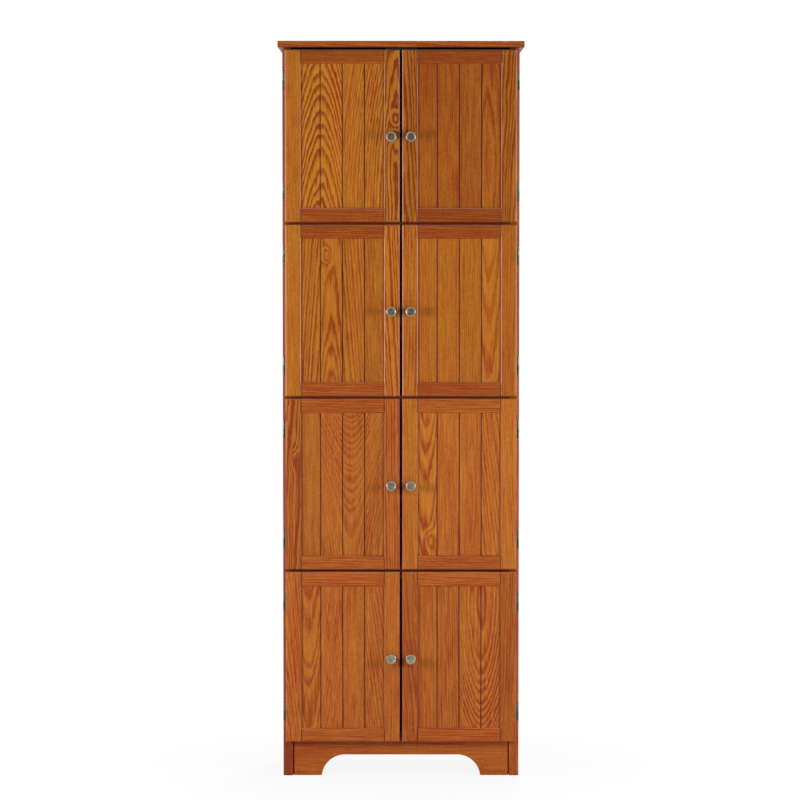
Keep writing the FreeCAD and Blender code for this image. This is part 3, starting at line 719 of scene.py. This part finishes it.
class CABINET_OT_base_apron(bpy.types.Operator):
    """Rebate the ends of the base apron and saw the flat arch out of it"""

    bl_idname = "cabinet.base_apron"
    bl_label = "Base Apron"

    figure = Figure(-70, 50, 0.03, spacing=4, contrast=0.1, wander=6, red=0.76, bright=1.14)
    overcut = 10 * MM

    def execute(self, context):
        sizes = context.scene.cabinet_sizes
        low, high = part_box("base_apron")
        drop = sizes.arch_radius - sizes.arch_rise
        reach = sizes.arch_width / 2 + sizes.arch_radius - math.sqrt(sizes.arch_radius ** 2 - drop ** 2)
        waste = block("arch_waste", (-reach, low.y - self.overcut, -sizes.arch_radius),
                      (reach, high.y + self.overcut, sizes.arch_rise))
        round_edges(waste, sizes.arch_radius, 6 * sizes.edge_steps,
                    lambda edge: lies(edge, z=sizes.arch_rise, x=edge.verts[0].co.x))
        mode("OBJECT")
        ends = (low.x + sizes.apron_gap, high.x - sizes.apron_gap)
        step = low.y + sizes.apron_rebate
        piece = block("finished_base_apron", (ends[0], low.y, low.z), (ends[1], high.y, high.z))
        slice_at(Y, step)
        for end, offset in zip(ends, (-sizes.apron_gap, sizes.apron_gap)):
            push(piece, lambda face: lies(face, x=end) and face.calc_center_median().y > step, (offset, 0, 0))
        mode("OBJECT")
        carve(piece, waste)
        mode("EDIT")
        round_edges(piece, sizes.arris, EASING_STEPS,
                    lambda edge: lies(edge, y=low.y) and not lies(edge, z=high.z))
        close(piece)
        lay_grain(piece, whole((low + high) / 2, self.figure), Z, X)
        hand_over(context, piece, "cabinet", "stained_board", "base_apron")
        return {"FINISHED"}


class CABINET_OT_door_frames(bpy.types.Operator):
    """Plane, groove and round the stiles and rails of the eight doors"""

    bl_idname = "cabinet.door_frames"
    bl_label = "Door Frames"

    stiles = {
        "knob": {
            "top_left_door": Figure(10, 20, 0.06, 0, 5.5, 1.2, 40, 0.58, 0.86, (8, 40, 14)),
            "top_right_door": Figure(-30, 20, 0.05, 0, 8, 1.0, 32, 0.7, 0.85),
            "upper_left_door": Figure(-34, 20, 0.05, 0, 7, 0.85, 12, 0.56, 1.04),
            "upper_right_door": Figure(60, 40, 0.02, 0, 6, 0.5, 7, 0.6, 1.05),
            "lower_left_door": Figure(60, 30, -0.03, 0, 6.5, 0.6, 18, 0.67, 1.05),
            "lower_right_door": Figure(-60, 40, 0.04, 0, 5, 0.3, 7, 0.47, 1.05),
            "bottom_left_door": Figure(70, 50, 0.02, 0, 5, 0.3, 7, 0.55, 1.06),
            "bottom_right_door": Figure(20, 20, -0.06, 0, 6, 0.3, 20, 0.73, 1.08),
        },
        "hinge": {
            "top_left_door": Figure(-80, 40, 0.02, 0, 4, 0.25, 7, 0.45, 1.02),
            "top_right_door": Figure(40, 20, 0.04, 0, 8, 1.0, 32, 0.71, 0.85),
            "upper_left_door": Figure(-70, 40, 0.04, 0, 4.5, 0.3, 7, 0.44, 0.99),
            "upper_right_door": Figure(70, 40, 0.02, 0, 5, 0.3, 7, 0.64, 0.98),
            "lower_left_door": Figure(-40, 20, -0.05, 0, 9, 0.9, 36, 0.66, 0.91, (0, 60, 14)),
            "lower_right_door": Figure(70, 40, -0.05, 0, 5, 0.3, 7, 0.47, 1.1),
            "bottom_left_door": Figure(-60, 40, 0.1, 0, 6, 0.45, 8, 0.65, 1.14),
            "bottom_right_door": Figure(60, 30, 0.04, 0, 6, 0.4, 16, 0.71, 0.99),
        },
    }
    # Share of late wood and brightness of the bottom rail, then of the top rail
    rails = {
        "top_left_door": ((0.92, 0.98), (0.92, 0.96)), "top_right_door": ((0.95, 0.9), (0.94, 0.91)),
        "upper_left_door": ((0.82, 1.02), (0.94, 0.94)), "upper_right_door": ((0.88, 1.0), (0.94, 0.94)),
        "lower_left_door": ((0.7, 1.05), (0.83, 1.05)), "lower_right_door": ((0.75, 1.05), (0.7, 1.06)),
        "bottom_left_door": ((0.77, 1.14), (0.77, 1.14)), "bottom_right_door": ((0.83, 1.2), (0.72, 1.15)),
    }
    # Painted highlight on the stiles' outer edges, their inner edges and the bottom rail's upper edge,
    # strongest on the upper doors where the side lamps catch them
    rubbed = {"top": (1.1, 0.75, 0.8), "upper": (1.05, 1.15, 0.25), "lower": (0.25, 0.2, 0.15),
              "bottom": (0.15, 0.08, 0.1)}
    # Share of the outer edges' painted highlight on each kind of stile
    shares = {"hinge": {"left": 0.55, "right": 0.55}, "knob": {"left": 0.5, "right": 1}}
    # Painted highlight on a bar's upper edges, painted shade on its lower edges and on a top rail's lower
    # edge, and at a rail's ends a dark joint line of stain and painted shade
    upper_rub, lower_rub, inner_rub, end_rub = 0.3, -0.3, -0.1, -0.9
    # Faces across the eased inner edges and across the joint lines
    inner_steps, joint_steps = 3, 1
    tenon_play = 0.3 * MM

    def bar(self, sizes, name, box, groove, axis, outer, figure, rub):
        """A stile across X or a rail across Z, its outer front edges rounded, its inner one eased and its
        panel groove cut. A rail's ends are eased too, and its tenons reach into the stiles."""
        low, high = (Vector(corner) for corner in box)
        upright = axis == "x"
        width = sizes.stile_width if upright else sizes.rail_width
        inner = outer + math.copysign(width, getattr(low + high, axis) / 2 - outer)
        for corner, pick in ((low, min), (high, max)):
            setattr(corner, axis, pick(inner, outer))
        ends = ()
        if not upright:
            low.x += sizes.stile_width
            high.x -= sizes.stile_width
            ends = ((low.x, high.x), (high.x, low.x))

        def grooved(axis, place):
            return lambda face: (lies(face, **{axis: place})
                                 and groove[0] < face.calc_center_median().y < groove[1])

        piece = block(name, low, high)
        round_edges(piece, sizes.door_rounding, sizes.edge_steps, lambda edge: lies(edge, y=low.y)
                    and (not lies(edge, x=inner) if upright else lies(edge, z=outer)))
        behind = low.y + sizes.door_rounding
        set_back(piece, AXES[axis], inner, outer, sizes.frame_easing, self.inner_steps, behind)
        for end, other in ends:
            set_back(piece, X, end, other, sizes.joint, self.joint_steps, behind)
        slice_at(Y, *groove)
        push(piece, grooved(axis, inner), AXES[axis] * math.copysign(sizes.panel_tongue, outer - inner))
        for end, other in ends:
            tenon = math.copysign(sizes.panel_tongue - self.tenon_play, end - other)
            push(piece, grooved("x", end), (tenon, 0, 0))
        close(piece)
        middle = (low + high) / 2
        middle.y = low.y
        lay_grain(piece, whole(middle, figure), *((X, Z) if upright else (Z, X)), rub)
        return piece

    def execute(self, context):
        sizes = context.scene.cabinet_sizes
        for tier, hand, door in DOORS:
            low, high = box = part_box(door + "_frame")
            groove = tuple(corner.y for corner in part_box(door + "_panel"))
            outer, inner, sill = self.rubbed[tier]
            bars = []
            for label, share in self.shares.items():
                at_left = (label == "hinge") == (hand == "left")
                sides = (share[hand] * outer, inner) if at_left else (inner, share[hand] * outer)
                bars.append(self.bar(sizes, f"{door}_{label}_stile", box, groove, "x",
                                     low.x if at_left else high.x, self.stiles[label][door],
                                     (*sides, self.upper_rub, self.lower_rub)))
            # Painted shade on the steep side of the edge that meets the other door, deepening the gap between
            # them
            toward = 1 if hand == "left" else -1
            gather(bars[1], HEAVY, lambda face: face.normal.x * toward > STEEP)
            # Painted highlight and painted shade on each rail's upper and lower edges
            rubs = ((sill, self.lower_rub), (self.upper_rub, self.inner_rub))
            for label, place, tone, rub in zip(("bottom", "top"), (low.z, high.z), self.rails[door], rubs):
                bars.append(self.bar(sizes, f"{door}_{label}_rail", box, groove, "z", place,
                                     Figure(-50, 30, 0.02, 0, 4, 0.5, 9, *tone),
                                     (self.end_rub, self.end_rub, *rub)))
            fit(context, bars, door, "stained_frame", door + "_frame")
        return {"FINISHED"}


class CABINET_OT_door_panels(bpy.types.Operator):
    """Groove the eight door panels and lay the figure of their boards"""

    bl_idname = "cabinet.door_panels"
    bl_label = "Door Panels"

    # Each panel is glued from boards that cover one or more of its four planks, from left to right
    boards = {
        "top_left_door": ((2, Figure(-55, 42, 0.17, 0.08, 6, 0.95, 17, 0.45, 1.0)),
                          (2, Figure(150, 60, 0.09, 0.22, 5.5, 0.62, 7, 0.45, 1.0))),
        "top_right_door": ((3, Figure(-190, 60, 0.0, 0, 5, 0.22, 14, 0.7, 0.97)),
                           (1, Figure(70, 24, 0.03, 0.25, 8, 0.4, 14, 0.7, 0.97))),
        "upper_left_door": ((3, Figure(-28, 26, 0.065, 0, 7.5, 0.62, 10, 0.53, 0.98, (-38, 136, 22))),
                            (1, Figure(-28, 62, 0.05, 0, 7, 0.2, 7, 0.53, 0.98))),
        "upper_right_door": ((3, Figure(-190, 50, 0.0, 0, 5, 0.3, 6, 0.55, 1.04)),
                             (1, Figure(73, 30, -0.06, 0, 8, 0.55, 14, 0.55, 1.04))),
        "lower_left_door": ((1, Figure(-190, 60, 0.02, 0, 5, 0.2, 7, 0.56, 0.99)),
                            (3, Figure(20, 36, -0.25, -0.5, 6, 0.38, 8, 0.56, 0.99))),
        "lower_right_door": ((1, Figure(-83, 30, -0.083, 0, 8, 0.7, 9, 0.57, 1.11, (-72, -140, 15))),
                             (2, Figure(-190, 60, -0.02, 0, 5, 0.28, 6, 0.6, 1.12)),
                             (1, Figure(165, 70, -0.1, 0, 7, 0.48, 9, 0.6, 1.12))),
        "bottom_left_door": ((1, Figure(-84, 34, -0.09, 0, 7, 0.55, 10, 0.6, 1.1)),
                             (1, Figure(-190, 60, -0.14, 0, 5.5, 0.35, 7, 0.6, 1.1)),
                             (1, Figure(-190, 60, 0.0, 0, 5, 0.15, 7, 0.6, 1.1)),
                             (1, Figure(150, 60, -0.12, 0, 6, 0.4, 8, 0.6, 1.1))),
        "bottom_right_door": ((2, Figure(-190, 60, 0.02, 0, 6, 0.32, 8, 0.66, 1.09)),
                              (2, Figure(56, 30, -0.15, 0.5, 6, 0.58, 8, 0.64, 1.09))),
    }

    def execute(self, context):
        sizes = context.scene.cabinet_sizes
        half = sizes.groove_width / 2
        inset = sizes.panel_tongue + sizes.border
        for *_, door in DOORS:
            low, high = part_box(door + "_panel")
            middle = (low + high) / 2
            middle.y = low.y
            grooves = [middle.x + step * sizes.groove_spacing for step in (-1, 0, 1)]
            piece = block(f"finished_{door}_panel", low, high)
            slice_at(X, *(place + aside for place in grooves for aside in (-half, 0, half)))
            choose(piece, "verts", lambda point: abs(point.co.y - low.y) < NEAR
                   and min(abs(point.co.x - place) for place in grooves) < NEAR)
            bpy.ops.transform.translate(value=(0, sizes.groove_depth, 0))
            slice_at(X, low.x + inset, high.x - inset)
            close(piece)
            ends = [*grooves, math.inf]
            boards, planks = [], 0
            for count, figure in self.boards[door]:
                planks += count
                boards.append((middle, figure, lambda place, end=ends[planks - 1]: place.x < end))
            lay_grain(piece, boards, X, Z, (0, 0, 0, 0))

            # Painted shade along the panel's sides, where the stiles shade it, and stain in its grooves with
            # painted shade, darkest on their left slopes, which face away from the left lamp
            def aside(face):
                return min((face.center.x - place for place in grooves), key=abs)

            gather(piece, FAINT, lambda face: min(face.center.x - low.x, high.x - face.center.x) < inset
                   or 0 <= aside(face) < half)
            gather(piece, HEAVY, lambda face: -half < aside(face) < 0)
            hand_over(context, piece, door, "stained_panel", door + "_panel")
        return {"FINISHED"}


class CABINET_OT_knobs(bpy.types.Operator):
    """Turn the eight pewter knobs with their dished faces"""

    bl_idname = "cabinet.knobs"
    bl_label = "Knobs"

    # Painted dark reflection in the dish, weakest on the lower doors, and how much darker the knob's back is
    tarnished = {"top": 0.85, "upper": 0.8, "lower": 0.5, "bottom": 0.2}
    dull_back = 0.8

    def profile(self, sizes, radius, length):
        """Radii and heights from a knob's foot to the middle of its dish."""
        foot, rounding, hollow = 2 * MM, 2.4 * MM, 1.4 * MM
        base, neck, dish = sizes.knob_base / 2, sizes.knob_neck / 2, sizes.knob_dish / 2
        rim = length - sizes.knob_rim
        flare = rim - 8 * MM
        quarter = [math.radians(angle) for angle in (0, 22, 45, 68, 90)]
        points = [(base, 0), (base, 0.7 * foot), (base - 0.6 * MM, foot), (neck + 0.8 * MM, 1.4 * foot),
                  (neck, 2.2 * foot)]
        points += [(neck + (radius - neck) * (1 - math.cos(turn)), flare + (rim - flare) * math.sin(turn))
                   for turn in quarter]
        points += [(radius - rounding * (1 - math.cos(turn)), length - rounding * (1 - math.sin(turn)))
                   for turn in quarter]
        points += [(dish, length), (dish - 0.3 * MM, length - 0.2 * MM)]
        points += [(dish * share, length - hollow * (1 - share ** 4)) for share in (0.9, 0.75, 0.5, 0.25)]
        return points

    def execute(self, context):
        sizes = context.scene.cabinet_sizes
        for tier, _, door in DOORS:
            low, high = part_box(door + "_knob")
            length = high.y - low.y
            points = self.profile(sizes, (high.x - low.x) / 2, length)
            piece = turned(f"finished_{door}_knob", sizes.turn_steps, points)
            hollow = piece.data.attributes.new("hollow", "FLOAT", "FACE").data
            # Painted dark reflection in the dish; the back is made darker too
            for face in piece.data.polygons:
                in_dish = face.center.z > length - 2 * MM and face.center.xy.length < sizes.knob_dish / 2
                behind = self.dull_back if face.center.z < length / 2 else 0
                hollow[face.index].value = self.tarnished[tier] if in_dish else behind
            piece.rotation_euler = (math.radians(90), 0, 0)
            piece.location = ((low.x + high.x) / 2, high.y, (low.z + high.z) / 2)
            bpy.ops.object.transform_apply()
            hand_over(context, piece, door, "pewter_knob", door + "_knob")
        return {"FINISHED"}


class CABINET_OT_hinges(bpy.types.Operator):
    """Roll the leaves of the sixteen butt hinges and turn their pins"""

    bl_idname = "cabinet.hinges"
    bl_label = "Hinges"

    # Plate's distance from the barrel, half the gap between the halves of a barrel, what a web's ends stay
    # short of its barrel's, the easing of a barrel's ends, and how much darker its lower half is
    clearance, half_gap, short, ease, dull = 1.1 * MM, 0.15 * MM, 0.3 * MM, 0.4 * MM, 0.65
    # Easing of a pin's ends, as a share of its radius
    pin_ease = 0.2

    def leaf(self, sizes, name, box, axis, plate_y, lower):
        """A flat plate with a web to its half of the barrel."""
        low, high = box
        radius = sizes.knuckle / 2
        toward = 1 if axis.x < 0 else -1
        far_x = high.x if toward > 0 else low.x
        near_x = axis.x + toward * (radius + self.clearance)
        plate_end = plate_y + sizes.leaf
        middle = (low.z + high.z) / 2
        start, end = (low.z, middle - self.half_gap) if lower else (middle + self.half_gap, high.z)
        plate = stamped(name + "_plate", (near_x, plate_y, low.z), (far_x, plate_end, high.z))
        web = close(block(name + "_web", (axis.x, plate_y, start + self.short),
                          (near_x, plate_end, end - self.short)))
        barrel = rod(name + "_barrel", sizes.turn_steps // 2, radius, start, end, self.ease)
        barrel.location = (*axis, 0)
        for hollow in barrel.data.attributes.new("hollow", "FLOAT", "FACE").data:
            hollow.value = self.dull if lower else 0
        return [plate, web, barrel]

    def execute(self, context):
        sizes = context.scene.cabinet_sizes
        carcass_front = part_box("left_side_panel")[0].y
        pins = solids_of("hinge_pins")
        axes = {hand: next(((low + high) / 2).xy for low, high in pins if (low.x < 0) == (hand == "left"))
                for hand in HANDS}
        parts = []
        for box in solids_of("frame_hinge_leaves"):
            axis = axes["left" if box[0].x < 0 else "right"]
            parts += self.leaf(sizes, "frame_leaf", box, axis, carcass_front - sizes.leaf, True)
        fit(context, parts, "cabinet", "hinge_steel", "frame_hinge_leaves")
        for _, hand, door in DOORS:
            door_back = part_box(door + "_frame")[1].y
            parts = []
            for box in solids_of(door + "_hinge_leaves"):
                parts += self.leaf(sizes, door + "_leaf", box, axes[hand], door_back, False)
            fit(context, parts, door, "hinge_steel", door + "_hinge_leaves")
        low, high = pins[0]
        radius = (high.x - low.x) / 2
        pin = rod("pin", sizes.turn_steps // 2, radius, 0, high.z - low.z, radius * self.pin_ease)
        spots = [(end_of(box, -Z)[0], Z) for box in pins]
        fit(context, set_down(pin, spots), "cabinet", "hinge_steel", "hinge_pins")
        return {"FINISHED"}


class CABINET_OT_fasteners(bpy.types.Operator):
    """Turn the screw heads, nail heads and cams, and stamp the strike plates"""

    bl_idname = "cabinet.fasteners"
    bl_label = "Fasteners"

    recess = 0.9 * MM
    cam_radius, cam_depth, cam_ease, cam_recess = 7.4 * MM, 6 * MM, 0.4 * MM, 1.5 * MM
    cam_slot = (9 * MM, 1.8 * MM)
    # A fixing taller than this is a strike plate, and one that stands out farther than this is a knob's screw
    plate_height, screw_rise = 20 * MM, 2 * MM

    def head(self, sizes, radius, height, crossed=True):
        """A low dome on a short shank, the surface that it stands in at Z = 0."""
        top = height + sizes.proud
        points = [(radius * 0.5, -1.5 * MM), (radius, -0.2 * MM), (radius, height),
                  (radius * 0.86, height + 0.6 * sizes.proud), (radius * 0.5, top)]
        piece = turned("head", sizes.turn_steps // 2, points)
        if crossed:
            cross_cut(piece, radius * 1.1, radius * 0.24, top, self.recess)
        return piece

    def heads(self, sizes, boxes, direction, height=0, crossed=True):
        """One head for each solid, at the end of its box that the direction points to."""
        across = 0 if direction.z else 2
        radius = max(high[across] - low[across] for low, high in boxes) / 2
        spots = [end_of(box, direction, height) for box in boxes]
        return set_down(self.head(sizes, radius, height, crossed), spots)

    def cams(self, sizes):
        """Cast cams with a cross slot, under the shelves and high on the side panels."""
        spots = []
        for low, high in solids_of("cam_locks"):
            facing = -Z
            if high.x - low.x < high.y - low.y - NEAR:
                facing = X if low.x < 0 else -X
            spots.append(end_of((low, high), facing))
        cam = turned("cam", sizes.turn_steps // 2,
                     [(self.cam_radius, -self.cam_depth), (self.cam_radius, sizes.proud - self.cam_ease),
                      (self.cam_radius - self.cam_ease, sizes.proud)])
        cross_cut(cam, *self.cam_slot, sizes.proud, self.cam_recess)
        return set_down(cam, spots)

    def execute(self, context):
        sizes = context.scene.cabinet_sizes
        heads = self.heads(sizes, solids_of("frame_hinge_screws"), -Y)
        fit(context, heads, "cabinet", "screw_steel", "frame_hinge_screws")
        heads = self.heads(sizes, solids_of("back_panel_nails"), Y, crossed=False)
        fit(context, heads, "cabinet", "screw_steel", "back_panel_nails", "finished_nails")
        floor_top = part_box("bottom_board")[1].z
        boxes = solids_of("carcass_screws")
        down = [box for box in boxes if box[1].z > floor_top + NEAR]
        up = [box for box in boxes if box[1].z <= floor_top + NEAR]
        heads = self.heads(sizes, down, -Z) + self.heads(sizes, up, Z)
        fit(context, heads, "cabinet", "screw_steel", "carcass_screws")
        for *_, door in DOORS:
            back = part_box(door + "_frame")[1].y
            boxes = solids_of(door + "_fixings")
            plates = [box for box in boxes if box[1].z - box[0].z > self.plate_height]
            tall = [box for box in boxes if box[1].y > back + self.screw_rise]
            flush = [box for box in boxes if box not in plates and box not in tall]
            parts = self.heads(sizes, flush, Y) + self.heads(sizes, tall, Y, tall[0][1].y - back)
            parts += [stamped("strike_plate", low, high) for low, high in plates]
            fit(context, parts, door, "screw_steel", door + "_fixings")
        fit(context, self.cams(sizes), "cabinet", "cam_zinc", "cam_locks")
        return {"FINISHED"}


class CABINET_OT_plain_finishes(bpy.types.Operator):
    """Finish the back panels, the catches and the hidden joints"""

    bl_idname = "cabinet.plain_finishes"
    bl_label = "Plain Finishes"

    slots = {"lower_back_panel": "back_hardboard", "upper_back_panel": "back_hardboard",
             "cam_bolts": "screw_steel", "dowels": "dowel_beech", "catch_housings": "catch_plastic",
             "catch_magnets": "magnet_ferrite"}

    def execute(self, context):
        for node, slot in self.slots.items():
            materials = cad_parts[node].data.materials
            materials.clear()
            materials.append(finish_of(context, slot))
        return {"FINISHED"}


class CABINET_OT_stage(bpy.types.Operator):
    """Set the pale floor, the white surround, three soft lights and the camera"""

    bl_idname = "cabinet.stage"
    bl_label = "Stage"

    # Places in metres
    eye, pitch, lens, sensor, far = (-0.0024, -8.478, 1.4), math.radians(90 - 3.147), 151.4, 36, 100
    # Each light's place and power, what all of them face, and their width and height
    lamps = (((-2.7, -1.65, 1.15), 61), ((2.7, -1.65, 1.15), 52), ((0.5, 2.4, 3.6), 75))
    aim, lamp_size = Vector((0, -0.1, 0.95)), (0.5, 0.9)
    surround_light = 0.26
    floor_width = 60
    # Distances between which the shadow by the feet fades out, and how white the floor looks at each
    shadow_reach, shadow_white = (0.25, 0.9), (0.9, 1.0)
    white = (1, 1, 1, 1)

    def execute(self, context):
        scene = context.scene
        self.surround(scene)
        self.floor(scene)
        self.lights()
        bpy.ops.object.camera_add(location=self.eye, rotation=(self.pitch, 0, 0))
        scene.camera = bpy.context.object
        camera = scene.camera.data
        camera.lens, camera.sensor_width, camera.clip_end = self.lens, self.sensor, self.far
        scene.view_settings.view_transform = "Standard"
        return {"FINISHED"}

    def seen(self, tree):
        """One where the camera, a reflection or a view through something meets the surface."""
        rays = add(tree, "LightPath").outputs
        either = calc(tree, "MAXIMUM", rays["Is Camera Ray"], rays["Is Glossy Ray"])
        return calc(tree, "MAXIMUM", either, rays["Is Transmission Ray"])

    def surround(self, scene):
        scene.world = bpy.data.worlds.new("white_surround")
        scene.world.use_nodes = True
        tree = scene.world.node_tree
        strength = remap(tree, self.seen(tree), 0, 1, self.surround_light, 1)
        wire(tree, tree.nodes["Background"], {"Color": self.white, "Strength": strength})

    def floor(self, scene):
        """A floor that throws light like a pale one and looks white, but for the shadow by the feet."""
        bpy.ops.mesh.primitive_plane_add(size=self.floor_width)
        floor = bpy.context.object
        floor.name = "studio_floor"
        made, tree, shader = new_finish("studio_floor")
        wire(tree, shader, {"Base Color": scene.cabinet_colours.floor, "Roughness": 0.9,
                            "Specular IOR Level": 0})
        glow = add(tree, "Emission", {"Color": self.white, "Strength": 1})
        reach = vector(tree, "LENGTH", add(tree, "TexCoord").outputs["Object"]).outputs["Value"]
        fade = remap(tree, reach, *self.shadow_reach, *self.shadow_white, kind="SMOOTHSTEP")
        share = calc(tree, "MULTIPLY", fade, self.seen(tree))
        mixed = add(tree, "MixShader", {0: share, 1: shader, 2: glow})
        wire(tree, tree.nodes["Material Output"], {"Surface": mixed})
        floor.data.materials.append(made)

    def lights(self):
        for place, power in self.lamps:
            facing = (self.aim - Vector(place)).to_track_quat("-Z", "Y").to_euler()
            bpy.ops.object.light_add(type="AREA", location=place, rotation=facing)
            light = bpy.context.object.data
            light.shape = "RECTANGLE"
            light.size, light.size_y = self.lamp_size
            light.energy = power


CLASSES = (
    CabinetSizes, CabinetColours, CABINET_OT_top_board, CABINET_OT_side_panels, CABINET_OT_shelves,
    CABINET_OT_base_apron, CABINET_OT_door_frames, CABINET_OT_door_panels, CABINET_OT_knobs,
    CABINET_OT_hinges, CABINET_OT_fasteners, CABINET_OT_plain_finishes, CABINET_OT_stage,
)
OPERATORS = [kind for kind in CLASSES if issubclass(kind, bpy.types.Operator)]


class CABINET_PT_sidebar(bpy.types.Panel):
    """Lists the cabinet's pieces, sizes and colours"""

    bl_idname = "CABINET_PT_sidebar"
    bl_label = "Cabinet"
    bl_space_type = "VIEW_3D"
    bl_region_type = "UI"
    bl_category = "Cabinet"

    def draw(self, context):
        for kind in OPERATORS:
            self.layout.operator(kind.bl_idname)
        for group in (context.scene.cabinet_sizes, context.scene.cabinet_colours):
            for name in group.__annotations__:
                self.layout.prop(group, name)


def register():
    for kind in (*CLASSES, CABINET_PT_sidebar):
        bpy.utils.register_class(kind)
    bpy.types.Scene.cabinet_sizes = PointerProperty(type=CabinetSizes)
    bpy.types.Scene.cabinet_colours = PointerProperty(type=CabinetColours)


def unregister():
    del bpy.types.Scene.cabinet_colours
    del bpy.types.Scene.cabinet_sizes
    for kind in reversed((*CLASSES, CABINET_PT_sidebar)):
        bpy.utils.unregister_class(kind)


def main():
    register()
    for kind in OPERATORS:
        group, name = kind.bl_idname.split(".")
        getattr(getattr(bpy.ops, group), name)()


if __name__ == "__main__":
    main()
